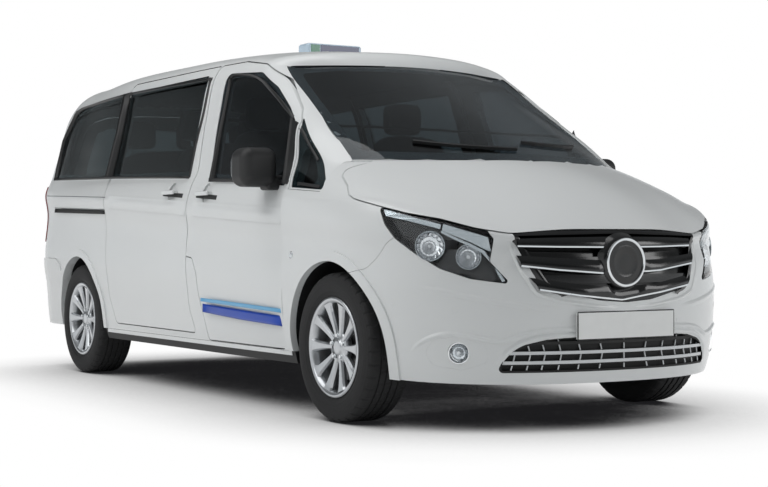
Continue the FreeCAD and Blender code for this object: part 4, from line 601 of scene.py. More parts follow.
# %% The tyre's section
TYRE_PROFILE = [
    (0.2128, -0.098), (0.228, -0.0995), (0.2507, -0.110), (0.268, -0.1122), (0.2851, -0.1125),
    (0.3000, -0.1105), (0.3146, -0.1062), (0.3255, -0.0975), (0.3305, -0.088), (0.3325, -0.078),
]
GROOVES = [-0.050, -0.017, 0.017, 0.050]
GROOVE_HALF = 4.5 * MM
GROOVE_DEPTH = 7 * MM
GROOVE_SLOPE = 1 * MM
TREAD_RADIUS = 0.3338
TYRE_STEPS = 216
BLOCK_STEPS = 6
SHOULDER_ROWS = 3
SHOULDER_SLOT, RIB_SLOT = 5 * MM, 2.5 * MM


def tyre_profile():
    """(radius, across) points of the whole tyre."""
    profile = list(TYRE_PROFILE)
    floor_radius = TREAD_RADIUS - GROOVE_DEPTH
    top, foot = GROOVE_HALF + GROOVE_SLOPE, GROOVE_HALF - GROOVE_SLOPE
    for middle in GROOVES:
        profile += [(TREAD_RADIUS, middle - top), (floor_radius, middle - foot),
                    (floor_radius, middle + foot), (TREAD_RADIUS, middle + top)]
    return profile + [(r, -x) for r, x in TYRE_PROFILE[::-1]]


def tyre_lift(i, k):
    """Slots across the shoulders and ribs of the tread."""
    side, size = len(TYRE_PROFILE), len(tyre_profile())
    shoulder = side - SHOULDER_ROWS <= k < side or size - side <= k < size - side + SHOULDER_ROWS
    rib = side + SHOULDER_ROWS <= k < size - side - SHOULDER_ROWS
    if i % BLOCK_STEPS == 0 and shoulder:
        return -SHOULDER_SLOT
    if i % BLOCK_STEPS == BLOCK_STEPS // 2 and rib:
        return -RIB_SLOT
    return 0.0


# %% A ring about a wheel's axis
def spun(name, profile, steps, material, body, centre, sign, lift=None, smooth=True, closed=True):
    """A ring turned about a wheel's axis from (radius, out) points. `lift` changes a radius by its step."""
    points, faces = [], []
    size = len(profile)
    for i in range(steps):
        angle = i * 2 * math.pi / steps
        for k, (radius, out) in enumerate(profile):
            r = radius + (lift(i, k) if lift else 0)
            points.append(Vector((out * sign, math.sin(angle) * r, math.cos(angle) * r)) + centre)
    for i in range(steps):
        j = (i + 1) % steps
        for k in range(size if closed else size - 1):
            m = (k + 1) % size
            face = (i * size + k, i * size + m, j * size + m, j * size + k)
            faces.append(face if sign > 0 else face[::-1])
    return new_piece(name, points, faces, material, body, smooth)


# %% [markdown]
# ## Cast wheels
#
# Each wheel has a barrel, ten tapered spokes, five bolts and a plain cap. The spokes are lofted
# through seven sections from the hub to the rim, and a bevel gives them their cast edges.

# %% Sections of a wheel
RIM_PROFILE = [
    (0.2250, 0.1035), (0.2240, 0.0975), (0.2110, 0.0965), (0.2040, 0.0850), (0.1960, 0.0640),
    (0.1945, -0.0600),
    (0.2040, -0.0980), (0.2110, -0.1000), (0.2250, -0.1000), (0.2250, -0.1040), (0.2080, -0.1045),
    (0.1990, -0.0960), (0.1890, -0.0600), (0.1905, 0.0620), (0.1975, 0.0880), (0.2045, 0.1010),
    (0.2150, 0.1060),
]
HUB_PROFILE = [(0.0, 0.083), (0.020, 0.0835), (0.029, 0.083), (0.033, 0.081), (0.034, 0.078), (0.062, 0.0775),
               (0.070, 0.074), (0.074, 0.066), (0.074, 0.045), (0.0, 0.045)]
DISC_PROFILE = [(0.0, 0.030), (0.145, 0.030), (0.148, 0.027), (0.148, 0.006), (0.145, 0.003), (0.0, 0.003)]
# Each row: radius, half width of the face, half width of the foot, outer side, inner side.
SPOKE_ROWS = [
    (0.050, 0.0085, 0.013, 0.0790, 0.052), (0.070, 0.0080, 0.013, 0.0800, 0.054),
    (0.100, 0.0095, 0.015, 0.0835, 0.058), (0.130, 0.0120, 0.018, 0.0880, 0.063),
    (0.160, 0.0150, 0.021, 0.0930, 0.068), (0.185, 0.0190, 0.026, 0.0975, 0.073),
    (0.201, 0.0260, 0.034, 0.1010, 0.080),
]
RIM_STEPS, HUB_STEPS = 96, 64
SPOKES = 10
SPOKE_SIDE = 11 * MM
SPOKE_EDGE = 1.6 * MM
BOLTS = 5
BOLT_CIRCLE = 52 * MM
BOLT_PROFILE = [(0.0115, 0.0775), (0.0115, 0.0785), (0.0085, 0.0785), (0.0085, 0.0860), (0.0070, 0.0872)]
HEXAGON = 6


# %% Spokes and bolts
def spokes(name, body, centre, sign):
    """All spokes of a wheel as one mesh."""
    points, faces = [], []
    for number in range(SPOKES):
        spun_round = Matrix.Rotation((number + 0.5) * 2 * math.pi / SPOKES, 3, "X")
        base = len(points)
        for radius, face_half, foot_half, out, back in SPOKE_ROWS:
            outline = [(-foot_half, back), (-foot_half, out - SPOKE_SIDE), (-face_half, out),
                       (face_half, out), (foot_half, out - SPOKE_SIDE), (foot_half, back)]
            points += [spun_round @ Vector((x * sign, across, radius)) + centre for across, x in outline]
        faces += between_rings(len(SPOKE_ROWS), len(outline), base, turned_over=sign > 0)
    arms = new_piece(name, points, faces, alloy, body, smooth=False)
    return modify(arms, "BEVEL", width=SPOKE_EDGE, segments=2)


def bolts(name, body, centre, sign):
    """Hexagonal wheel bolts on their collars, as one mesh."""
    points, faces = [], []
    for number in range(BOLTS):
        angle = number * 2 * math.pi / BOLTS
        middle = Vector((0, math.sin(angle) * BOLT_CIRCLE, math.cos(angle) * BOLT_CIRCLE)) + centre
        base = len(points)
        for radius, out in BOLT_PROFILE:
            for corner in range(HEXAGON):
                spin = corner * 2 * math.pi / HEXAGON
                points.append(middle + Vector((out * sign, math.sin(spin) * radius, math.cos(spin) * radius)))
        faces += between_rings(len(BOLT_PROFILE), HEXAGON, base, turned_over=sign < 0)
        cap = tuple(range(len(points) - HEXAGON, len(points)))
        faces.append(cap[::-1] if sign > 0 else cap)
    return new_piece(name, points, faces, bright_trim, body, smooth=False)


# %% The four wheels
def wheel(place, side):
    """Tyre, rim, hub, spokes, bolts and brake disc of one wheel."""
    body = place + "_wheel_" + side
    sign = 1 if side == "left" else -1
    tag = place + "_" + side
    low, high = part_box(place + "_tyre_" + side)
    centre = (low + high) / 2
    tyre = spun("tyre_" + tag, tyre_profile(), TYRE_STEPS, rubber, body, centre, sign, tyre_lift,
                smooth=False)
    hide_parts(place + "_tyre_" + side)
    rim = spun("rim_barrel_" + tag, RIM_PROFILE, RIM_STEPS, alloy, body, centre, sign)
    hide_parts(place + "_rim_" + side)
    spun("hub_" + tag, HUB_PROFILE, HUB_STEPS, alloy, body, centre, sign, closed=False)
    spokes("spokes_" + tag, body, centre, sign)
    bolts("bolts_" + tag, body, centre, sign)
    spun("brake_disc_" + tag, DISC_PROFILE, HUB_STEPS, steel, body, centre, sign, closed=False)


for place in ("front", "rear"):
    for side in ("left", "right"):
        wheel(place, side)
made("Wheels")

# %% [markdown]
# ## Headlamp covers
#
# The CAD lamp is one solid. Its outer faces become a thin clear cover, and its other faces the
# dark housing, so the lamp keeps its place and outline. Only the right lamp is made, and the
# left one mirrors it.

# %% Cover and housing
RIGHT_CORNER = Vector((-1, -1, 0.25)).normalized()
FACES_OUT = 0.35
LAMP_INNER_SIDE = 0.5
COVER_THICKNESS = 3 * MM
lamp_mesh = nodes["front_lamps"].data
lamp_points = [v.co.copy() for v in lamp_mesh.vertices]
cover_faces, housing_faces = [], []
for polygon in lamp_mesh.polygons:
    if polygon.center.x > 0:
        continue
    if polygon.normal.dot(RIGHT_CORNER) > FACES_OUT:
        cover_faces.append(tuple(polygon.vertices))
    elif polygon.center.x < -LAMP_INNER_SIDE:
        housing_faces.append(tuple(polygon.vertices))
cover = tidy_mesh(new_piece("lamp_cover_right", lamp_points, cover_faces, lamp_cover, "body"))
modify(cover, "SOLIDIFY", thickness=COVER_THICKNESS, offset=-1.0)
housing = new_piece("lamp_housing_right", lamp_points, housing_faces, lamp_black, "body", smooth=False)
tidy_mesh(housing)
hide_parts("front_lamps")
made("Lamp covers")

# %% [markdown]
# ## Inside the headlamps
#
# Two silvered bowls with flat facets throw the light, and pale guides glow as running lights. They
# stand behind the cover at the pixels where the photograph shows them.

# %% Bowls, bulbs and guides
BOWL_RINGS = [(1.0, 0.0), (0.9, 0.35), (0.66, 0.68), (0.36, 0.9), (0.12, 1.0)]
BULB_SHAPE = [(1.0, 0.0), (1.0, 0.6), (0.85, 0.85), (0.45, 1.0)]


def seen(name, pixel, depth=0.0):
    """Point of a CAD node that the photograph shows at a pixel, pushed back along the line of sight."""
    found = drop(name, STANDPOINT, ray(pixel))
    return found[0] + ray(pixel) * depth if found else None


def faceted_bowl(name, middle, way, radius, depth, facets=14):
    """A reflector with flat facets, open towards `way`."""
    points, faces = [], []
    for ring, (r, d) in enumerate(BOWL_RINGS):
        points += circle(middle - way * depth * d, way, radius * r, facets, 0.5 if ring % 2 else 0)
    for ring in range(len(BOWL_RINGS) - 1):
        for i in range(facets):
            a, b = ring * facets + i, ring * facets + (i + 1) % facets
            c, d = a + facets, b + facets
            faces += [(a, b, d), (a, d, c)] if ring % 2 else [(a, b, c), (b, d, c)]
    return new_piece(name, points, faces, reflector, "body", smooth=False)


def bulb(name, middle, way, radius, length):
    """A glass bulb with a rounded end."""
    profile = [(radius * r, length * d) for r, d in BULB_SHAPE]
    return turned(name, profile, middle, way, 12, clear_lamp, "body")


def patch(name, pixels, depth, thick):
    """A flat-backed light guide behind the cover, seen at these pixels."""
    front = [seen("front_lamps", pixel, depth) for pixel in pixels]
    front = [p for p in front if p is not None]
    back = [p + ray(pixels[0]) * thick for p in front]
    count = len(front)
    faces = [tuple(range(count)), tuple(range(count, 2 * count))[::-1]]
    faces += [(i, i + count, (i + 1) % count + count, (i + 1) % count) for i in range(count)]
    return new_piece(name, front + back, faces, lamp_grey, "body", smooth=False)


# %% The right headlamp's inside
LAMP_BOWLS = [((430, 246), 62 * MM, 36 * MM), ((468.5, 257), 52 * MM, 34 * MM)]
BOWL_BEHIND = 12 * MM
BOWL_LOOKS = Vector((0.15, -0.35, 0))
SIGHT_SHARE = 0.6
BULB_SUNK = 0.9
LIGHT_GUIDE = [(384, 209.5), (400, 213.5), (420, 219), (441, 224.5), (440, 229), (420, 224), (400, 219),
               (386, 216)]
INDICATOR = [(443, 224), (460, 229), (478, 234), (488, 237.5), (491, 252), (484, 249), (470, 242), (455, 236),
             (442, 231)]
LOWER_GUIDE = [(441, 230.5), (455, 237), (470, 243.5), (484, 250.5), (494, 262), (505, 281), (502, 282),
               (491, 264), (482, 253), (469, 246), (454, 239.5), (441, 233)]
lamp_parts = [cover, housing]
for number, (pixel, radius, depth) in enumerate(LAMP_BOWLS):
    middle = seen("front_lamps", pixel, BOWL_BEHIND)
    way = (RIGHT_CORNER - ray(pixel) * SIGHT_SHARE + BOWL_LOOKS).normalized()
    tag = str(number + 1) + "_right"
    lamp_parts.append(faceted_bowl("lamp_bowl_" + tag, middle, way, radius, depth))
    lamp_parts.append(ring_round("lamp_ring_" + tag, middle, way, radius, 4 * MM, lamp_grey, "body"))
    lamp_parts.append(bulb("lamp_bulb_" + tag, middle - way * depth * BULB_SUNK, way, 9 * MM, 30 * MM))
lamp_parts.append(patch("lamp_guide_right", LIGHT_GUIDE, 6 * MM, 6 * MM))
lamp_parts.append(patch("lamp_indicator_right", INDICATOR, 5 * MM, 10 * MM))
lamp_parts.append(patch("lamp_lower_guide_right", LOWER_GUIDE, 6 * MM, 6 * MM))
made("Headlamps")

# %% [markdown]
# ## Fog lamps
#
# A small round lamp low in each corner: a faceted bowl, a bulb, a plated ring and a domed cover.
# It is centred on the CAD lamp, which gives its place.

# %% Fog lamps
FOG_TOP = 0.42
FOG_WAY = Vector((-0.75, -1, 0)).normalized()
FOG_RADIUS = 40 * MM
FOG_DOME = [(0.0, 0.013), (0.012, 0.0125), (0.024, 0.0105), (0.034, 0.007), (0.041, 0.003)]
FOG_STAND_BACK = 0.4
fog_faces = [p.center.copy() for p in lamp_mesh.polygons if p.center.x < 0 and p.center.z < FOG_TOP]
fog_middle = Vector([(min(p[i] for p in fog_faces) + max(p[i] for p in fog_faces)) / 2 for i in range(3)])
fog_start = fog_middle + Vector((-1, -1, 0)).normalized() * FOG_STAND_BACK
fog_spot = drop("front_lamps", fog_start, (1, 1, 0))[0]
lamp_parts += [
    faceted_bowl("fog_bowl_right", fog_spot + FOG_WAY * 3 * MM, FOG_WAY, FOG_RADIUS, FOG_RADIUS / 2, 12),
    ring_round("fog_ring_right", fog_spot + FOG_WAY * 2 * MM, FOG_WAY, FOG_RADIUS + 3 * MM, 6 * MM,
               bright_trim, "body"),
    bulb("fog_bulb_right", fog_spot - FOG_WAY * 14 * MM, FOG_WAY, 8 * MM, 22 * MM),
    tidy_mesh(turned("fog_cover_right", FOG_DOME, fog_spot, FOG_WAY, 32, lamp_cover, "body", capped=False,
                     turned_over=True)),
]
for part in lamp_parts:
    to_left(part)
made("Lamps")

# %% [markdown]
# ## The upper grille
#
# Three gloss black louvres cross the opening, each with a plated line on its lower edge. Their
# edges are read off the photograph and carried onto the grille's curved front, whose shape is
# measured on the CAD grille. Near the middle they dip behind the disc's housing.

# %% Lines of the louvres
LOUVRES = [
    ([(516, 238.5), (560, 237.5), (616, 236.5), (660, 237.0), (688, 238.0)],
     [(517.5, 246.2), (560, 246.9), (616, 247.2), (660, 246.5), (688.5, 245.2)]),
    ([(516, 255.5), (560, 258.0), (616, 261.0), (660, 259.0), (692, 253.0)],
     [(521.3, 265.8), (560, 270.0), (616, 274.0), (660, 270.0), (691.4, 262.8)]),
    ([(529, 277.5), (570, 283.0), (620, 288.0), (660, 282.5), (690, 274.0)],
     [(539.6, 289.7), (580, 295.5), (624.7, 299.9), (660, 292.0), (687.8, 284.5)]),
]
AHEAD = -3.4
FRONT_WAY, BACK_WAY = Vector((0, -1, 0)), Vector((0, 1, 0))
DISC_MIDDLE = Vector((0, 0, 0.713))
HOUSING_RADIUS = 0.128
LOUVRE_DIP = 14 * MM
LOUVRE_LIMIT = cad_low.y + 6.5 * MM
LOUVRE_STEPS, LOUVRE_ROWS = 48, 8
LOUVRE_LIP = Vector((0, 12, -3)) * MM
TOP_AHEAD, FOOT_AHEAD, LINE_AHEAD = 2 * MM, 10 * MM, 10.5 * MM
LOUVRE_BULGE = 6 * MM
INNER_X, OUTER_X, LEVEL_Z = 0.16, 0.42, 0.776
LEVEL_FOOT, LEVEL_STEP, LAST_LEVEL = 0.56, 0.02, 15
GRILLE_LEVELS = [LEVEL_FOOT + LEVEL_STEP * i for i in range(LAST_LEVEL + 1)]
MEETING_ROUNDS = 14
disc_front = drop("grille", (0, AHEAD, DISC_MIDDLE.z), BACK_WAY)[0]
inner_y = drop("grille", (INNER_X, AHEAD, LEVEL_Z), BACK_WAY)[0].y
outer_y = drop("grille", (OUTER_X, AHEAD, LEVEL_Z), BACK_WAY)[0].y
GRILLE_BEND = (outer_y - inner_y) / (OUTER_X**2 - INNER_X**2)


# %% The grille's curved front
def grille_front(z):
    """Foremost face of the grille beside its disc, near one height."""
    fronts = []
    for step in range(-4, 5):
        for x in (INNER_X, -INNER_X, 0.2):
            found = drop("grille", (x, AHEAD, z + step * 6 * MM), BACK_WAY)
            if found:
                fronts.append(found[0].y)
    return min(fronts) if fronts else inner_y


grille_fronts = [grille_front(z) for z in GRILLE_LEVELS]
for _ in range(4):
    grille_fronts = [min(y, (grille_fronts[max(i - 1, 0)] + grille_fronts[min(i + 1, LAST_LEVEL)]) / 2)
                     for i, y in enumerate(grille_fronts)]


def on_grille(pixel, ahead):
    """Point where the photograph's line of sight meets the grille's curved front, a little ahead of it."""
    way = ray(pixel)
    y = inner_y
    for _ in range(MEETING_ROUNDS):
        spot = STANDPOINT + way * ((y - STANDPOINT.y) / way.y)
        level = min(max((spot.z - GRILLE_LEVELS[0]) / LEVEL_STEP, 0), LAST_LEVEL - 0.001)
        k = int(level)
        base = grille_fronts[k] + (grille_fronts[k + 1] - grille_fronts[k]) * (level - k)
        y = base + GRILLE_BEND * (spot.x**2 - INNER_X**2) - ahead
    spot.y = max(spot.y, LOUVRE_LIMIT)
    if math.hypot(spot.x, spot.z - DISC_MIDDLE.z) < HOUSING_RADIUS:
        spot.y = max(spot.y, disc_front.y + LOUVRE_DIP)
    return spot


# %% Louvres
def spread(line, count):
    """Evenly spaced pixels along a line of pixels."""
    lengths = [0.0]
    for a, b in zip(line, line[1:]):
        lengths.append(lengths[-1] + math.dist(a, b))
    found = []
    for step in range(count + 1):
        want = lengths[-1] * step / count
        k = max(i for i in range(len(line)) if lengths[i] <= want + 1e-9)
        k = min(k, len(line) - 2)
        t = (want - lengths[k]) / max(lengths[k + 1] - lengths[k], 1e-9)
        found.append((line[k][0] + (line[k + 1][0] - line[k][0]) * t,
                      line[k][1] + (line[k + 1][1] - line[k][1]) * t))
    return found


def louvre(tag, upper, lower):
    """One louvre between two lines of pixels, bulged forward, with the plated line on its lower edge."""
    points, faces, spots = [], [], []
    for a, b in zip(spread(upper, LOUVRE_STEPS), spread(lower, LOUVRE_STEPS)):
        high_point, low_point = on_grille(a, TOP_AHEAD), on_grille(b, FOOT_AHEAD)
        for k in range(LOUVRE_ROWS - 1):
            t = k / (LOUVRE_ROWS - 2)
            point = high_point.lerp(low_point, t)
            point.y -= math.sin(t * math.pi) * LOUVRE_BULGE
            points.append(point)
        points.append(low_point + LOUVRE_LIP)
        spots.append((on_grille(b, LINE_AHEAD), FRONT_WAY))
    for i in range(LOUVRE_STEPS):
        for k in range(LOUVRE_ROWS - 1):
            a = i * LOUVRE_ROWS + k
            faces.append((a, a + 1, a + LOUVRE_ROWS + 1, a + LOUVRE_ROWS))
    new_piece("louvre_" + tag, points, faces, gloss_black, "body")
    bar("louvre_line_" + tag, spots, 8 * MM, 4 * MM, bright_trim, "body", sink=1 * MM)


for number, (upper, lower) in enumerate(LOUVRES):
    louvre(str(number + 1), upper, lower)
made("Louvres")

# %% [markdown]
# ## The plain disc
#
# A round black disc with a plated ring sits in the middle of the grille. It is one turned form,
# with a cone behind it that closes the gap to the louvres.

# %% The disc and its ring
DISC_PROFILE_FRONT = [
    (HOUSING_RADIUS, -0.034), (0.116, -0.012), (0.109, -0.001), (0.104, 0.002), (0.101, 0.003),
    (0.096, 0.0020), (0.070, 0.0035), (0.064, 0.0045), (0.060, 0.0030), (0.030, 0.0045), (0.004, 0.0050)]
RING_RADIUS, RING_WIDTH = 99 * MM, 12.5 * MM
ROUND_STEPS = 72
turned("badge_disc", DISC_PROFILE_FRONT, disc_front, FRONT_WAY, ROUND_STEPS, gloss_black, "body",
       turned_over=True)
ring_round("disc_ring", disc_front + FRONT_WAY * 0.2 * MM, FRONT_WAY, RING_RADIUS, RING_WIDTH, bright_trim,
           "body", ROUND_STEPS)
made("Disc")

# %% [markdown]
# ## The lower intake and the plates
#
# Two silver bars and a row of leaning ribs cross the lower intake. They are laid on the CAD
# grille, which carries them. A black holder frames each plate.

# %% Bars and ribs of the intake
INTAKE_LINES = [(0.297, 0.60), (0.3375, 0.575)]
RIBS = [0.0, 0.115, 0.22, 0.31, 0.38, 0.44, 0.50, 0.555]
RIB_FOOT, RIB_TOP, RIB_MIDDLE = 0.266, 0.396, 0.33
RIB_LEAN, RIB_END, RIB_STEPS = -0.25, 0.58, 8
RIB_BEHIND = 6 * MM
BAR_LEVEL, BAR_STEPS = 0.2925, 60
HOLDER_OUTSET, HOLDER_WIDTH = 2 * MM, 6 * MM
HOLDER_THICKNESS, HOLDER_SINK = 3 * MM, 3.2 * MM
HOLDER_STEPS = 8

for number, (z, end) in enumerate(INTAKE_LINES):
    found = [drop("lower_grilles", (-end + 2 * end * step / BAR_STEPS, AHEAD, z), BACK_WAY)
             for step in range(BAR_STEPS + 1)]
    spots = [(hit[0], FRONT_WAY) for hit in found if hit]
    bar("intake_bar_" + str(number + 1), spots, 14 * MM, 4 * MM, silver_paint, "body", sink=1 * MM)

for number, x in enumerate([-x for x in RIBS[:0:-1]] + RIBS):
    spots = []
    for step in range(RIB_STEPS + 1):
        z = RIB_FOOT + (RIB_TOP - RIB_FOOT) * step / RIB_STEPS
        leaned = x + (math.copysign((z - RIB_MIDDLE) * RIB_LEAN, x) if x else 0)
        found = drop("lower_grilles", (leaned, AHEAD, BAR_LEVEL), BACK_WAY)
        if found and abs(leaned) < RIB_END:
            spots.append((Vector((leaned, found[0].y + RIB_BEHIND, z)), FRONT_WAY))
    if len(spots) > 3:
        bar("intake_rib_" + str(number + 1), spots, 6 * MM, 4 * MM, silver_paint, "body")


# %% Plate holders
def plate_frame(node, body, tag, way):
    """A thin holder round a plate, flush with its face."""
    low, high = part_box(node)
    y = low.y if way.y < 0 else high.y
    x0, x1 = low.x - HOLDER_OUTSET, high.x + HOLDER_OUTSET
    z0, z1 = low.z - HOLDER_OUTSET, high.z + HOLDER_OUTSET
    corners = [(x0, z0), (x1, z0), (x1, z1), (x0, z1)]
    spots = []
    for i, (x, z) in enumerate(corners):
        next_x, next_z = corners[(i + 1) % 4]
        for step in range(HOLDER_STEPS):
            t = step / HOLDER_STEPS
            spots.append((Vector((x + (next_x - x) * t, y, z + (next_z - z) * t)), way))
    return bar("plate_frame_" + tag, spots, HOLDER_WIDTH, HOLDER_THICKNESS, black_plastic, body,
               HOLDER_SINK, True)


plate_frame("front_plate", "body", "front", FRONT_WAY)
made("Grilles and plate")

# %% [markdown]
# ## Laying sheets and ridges on the skin
#
# Printed borders and film are thin sheets that follow a curved skin. A sheet is ruled between two
# lines of pixels, and each of its points is sent along its line of sight onto the CAD skin. Gaps
# between panels are bridged and the depths smoothed. A ridge is a pressed line that fades out.

# %% Sheets on the skin
BRIDGE_REACH = 3
JUMP_LIMIT = 20 * MM


def smoothed(depths, times=3):
    """Averages each depth with its neighbours."""
    rows, size = len(depths), len(depths[0])
    for _ in range(times):
        new = [list(row) for row in depths]
        for i in range(rows):
            for m in range(size):
                around = [depths[j][n] for j in (i - 1, i, i + 1) for n in (m - 1, m, m + 1)
                          if 0 <= j < rows and 0 <= n < size]
                new[i][m] = sum(around) / len(around)
        depths = new
    return depths


def skin_depths(rows):
    """Depth of each point of a sheet. What falls into a gap takes the depth of the skin beside it."""
    depths = []
    for i, row in enumerate(rows):
        near, reach = [], BRIDGE_REACH
        while not near:
            near = sorted(cell[1][0] for other in rows[max(0, i - reach):i + reach + 1]
                          for cell in other if cell[1])
            reach += BRIDGE_REACH
        foremost = near[len(near) // 8]
        depths.append([min(cell[1][0], foremost + JUMP_LIMIT) if cell[1] else foremost for cell in row])
    return smoothed(depths)


def laid(name, one, other, names, lift, material, body, steps=40, across=3, thick=1.2 * MM):
    """A thin sheet on the skin between two lines of pixels."""
    rows = []
    for a, b in zip(spread(one, steps), spread(other, steps)):
        pixels = [(a[0] + (b[0] - a[0]) * k / across, a[1] + (b[1] - a[1]) * k / across)
                  for k in range(across + 1)]
        rows.append([(pixel, nearest(names, pixel)) for pixel in pixels])
    kept = [i for i, row in enumerate(rows) if sum(1 for cell in row if cell[1]) * 2 > across]
    rows = rows[kept[0]:kept[-1] + 1]
    points = []
    for row, depths in zip(rows, skin_depths(rows)):
        for (pixel, found), depth in zip(row, depths):
            normal = found[1] if found else -ray(pixel)
            points.append(STANDPOINT + ray(pixel) * (depth - lift * 0.5) + normal * lift * 0.5)
    size = across + 1
    faces = [(i * size + k, i * size + k + 1, (i + 1) * size + k + 1, (i + 1) * size + k)
             for i in range(len(rows) - 1) for k in range(across)]
    first = faces[len(faces) // 2]
    normal = (points[first[1]] - points[first[0]]).cross(points[first[2]] - points[first[1]])
    if normal.dot(points[first[0]] - STANDPOINT) > 0:
        faces = [face[::-1] for face in faces]
    return modify(new_piece(name, points, faces, material, body), "SOLIDIFY", thickness=thick, offset=-1.0)


# %% Pressed lines
RIDGE_SUNK = 0.6 * MM
RIDGE_FADE = 0.15


def ridge(name, line, names, width, height, body, steps=60, across=10):
    """A soft raised line on the skin, faded out at both ends."""
    found = [(pixel, nearest(names, pixel)) for pixel in spread(line, steps)]
    found = [(STANDPOINT + ray(pixel) * hit[0], hit[1]) for pixel, hit in found if hit]
    count = len(found)
    for _ in range(3):
        found = [((found[max(i - 1, 0)][0] + spot * 2 + found[min(i + 1, count - 1)][0]) / 4,
                  (found[max(i - 1, 0)][1] + normal * 2 + found[min(i + 1, count - 1)][1]).normalized())
                 for i, (spot, normal) in enumerate(found)]
    points, faces = [], []
    for i, (spot, normal) in enumerate(found):
        along = found[min(i + 1, count - 1)][0] - found[max(i - 1, 0)][0]
        side = along.cross(normal).normalized()
        fade = min(1.0, min(i, count - 1 - i) / (count * RIDGE_FADE))
        for k in range(across + 1):
            t = k / across * 2 - 1
            rise = height * fade * math.cos(t * math.pi / 2) ** 2 - RIDGE_SUNK
            points.append(spot + side * t * width / 2 + normal * rise)
    size = across + 1
    for i in range(count - 1):
        for k in range(across):
            faces.append((i * size + k, i * size + size + k, i * size + size + k + 1, i * size + k + 1))
    normal = (points[faces[0][1]] - points[faces[0][0]]).cross(points[faces[0][2]] - points[faces[0][1]])
    if normal.dot(found[0][1]) < 0:
        faces = [face[::-1] for face in faces]
    return new_piece(name, points, faces, paint, body)


# %% [markdown]
# ## Glass edges and side trim
#
# Black printed borders hide the glue of each pane, and rubber fills the sliding door's rail. They
# are laid at the pixels where the photograph shows them, on the right side, and mirrored to the
# left one. What is on a door moves with it, so the borders stop at the division bar.

# %% Borders and seals
SIDE_SKIN = ["body_shell", "sliding_door_right", "side_windows", "front_door_right", "front_window_right"]
DOOR_SKIN = ["front_door_right", "front_window_right"]
QUARTER_SKIN = ["body_shell", "side_windows"]
CORNER_SKIN = ["front_bumper", "front_wing_right", "grille"]
TRIM_LIFT = 1.4 * MM
TRIM = [
    ("window_joint_band", [(132.5, 92.6), (124, 135), (114, 178.0)],
     [(123.5, 95.5), (115.5, 135), (104.5, 178.6)],
     SIDE_SKIN, window_border, "body"),
    ("quarter_band_top",
     [(53.5, 180.5), (62.4, 140.4), (75.8, 111.8), (82.4, 107.6), (108, 98.8), (133, 91.6)],
     [(57.5, 179.6), (66.5, 140.8), (79.4, 113.4), (85.0, 109.6), (109, 101.2), (132.4, 94.0)],
     SIDE_SKIN, window_border, "body"),
    ("sliding_band_top", [(130, 93.0), (165, 85.8), (212.6, 77.0)], [(130, 95.6), (165, 88.2), (210.5, 79.8)],
     SIDE_SKIN, window_border, "body"),
    ("sliding_band_front", [(212.8, 77.2), (205.4, 115), (198.4, 142.1), (191.4, 177.6)],
     [(209.4, 78.4), (202.0, 115), (195.2, 142.1), (188.4, 177.4)], SIDE_SKIN, window_border, "body"),
    ("side_band_bottom", [(54.0, 180.6), (85, 179.8), (117, 178.8), (150, 178.6), (190.6, 178.6)],
     [(54.6, 178.4), (85, 177.4), (117, 176.2), (150, 176.2), (190.8, 176.2)], SIDE_SKIN, window_border,
     "body"),
    ("rail_slot", [(55.2, 208.6), (80, 209.4), (105.6, 210.3)], [(54.6, 212.6), (80, 213.4), (105.6, 214.2)],
     SIDE_SKIN, seal_rubber, "body"),
    ("rail_line", [(46.0, 195.6), (76, 196.2), (106, 197.0)], [(46.0, 196.3), (76, 196.9), (106, 197.7)],
     SIDE_SKIN, alloy_dark, "body"),
    ("door_window_rear", [(208.6, 181.0), (218.6, 130), (229.0, 78.2)],
     [(215.4, 181.2), (223.2, 130), (232.8, 79.4)],
     DOOR_SKIN, window_border, "front_door_right"),
    ("door_window_top", [(228.8, 79.0), (231.4, 75.0), (240, 73.7), (250.7, 73.8), (258, 76.0), (265, 80.6),
                         (279.8, 97.0), (296.2, 118.0)],
     [(231.8, 80.0), (233.4, 77.6), (240, 76.5), (250.0, 76.6), (256.6, 78.6), (262.4, 82.6), (276.8, 99.0),
      (293.4, 120.0)], DOOR_SKIN, window_border, "front_door_right"),
    ("quarter_light_top", [(298.6, 121.0), (309, 139.6), (320.4, 160)],
     [(296.0, 123.4), (306, 141.4), (317.0, 161.5)],
     QUARTER_SKIN, window_border, "body"),
    ("door_window_foot", [(208.8, 178.0), (245, 178.6), (281, 179.6), (294, 181.2)],
     [(208.4, 181.8), (245, 182.4), (281, 183.6), (294, 185.2)], DOOR_SKIN, black_plastic,
     "front_door_right"),
    ("quarter_light_foot", [(297.5, 181.8), (309, 183.4), (320, 185.0)],
     [(297.5, 185.8), (309, 187.4), (320, 189.0)],
     QUARTER_SKIN, black_plastic, "body"),
    ("door_window_bar", [(290.6, 117.6), (286.4, 150), (281.6, 183)],
     [(299.2, 123.0), (296.2, 152), (294.6, 185)],
     DOOR_SKIN, black_plastic, "front_door_right"),
    ("grille_edge", [(510.5, 236), (512.0, 244), (521.0, 265), (530.5, 281), (541.0, 291.8), (560, 297.5)],
     [(518, 236), (525, 247), (535, 263), (547, 281), (558, 291), (572, 294)], CORNER_SKIN, gloss_black,
     "body"),
]
for name, one, other, names, material, body in TRIM:
    to_left(laid(name + "_right", one, other, names, TRIM_LIFT, material, body), body)
made("Borders and seals")

# %% [markdown]
# ## Handle shade and sill lips
#
# Each door handle's recess gets a black bar of painted shade, standing for the shadow in it, and a lip runs
# along the sill. Both are straight bars with cut edges, laid on the skin.

# %% Painted shade in the door handles' recesses
# Each row: name, door, body, and the pixels at both ends of a black bar that paints the shade in the handle's
# recess.
HANDLE_SHADES = [("sliding_pull", "sliding_door_right", "body", (163.6, 194.0), (182.6, 195.8)),
         ("front_pull", "front_door_right", "front_door_right", (196.6, 195.6), (216.6, 197.6))]
HANDLE_SHADE_STEPS, LIP_STEPS = 8, 40
OUTSIDE = 1.4
LIP_BELOW, LIP_INSET = 12 * MM, 30 * MM

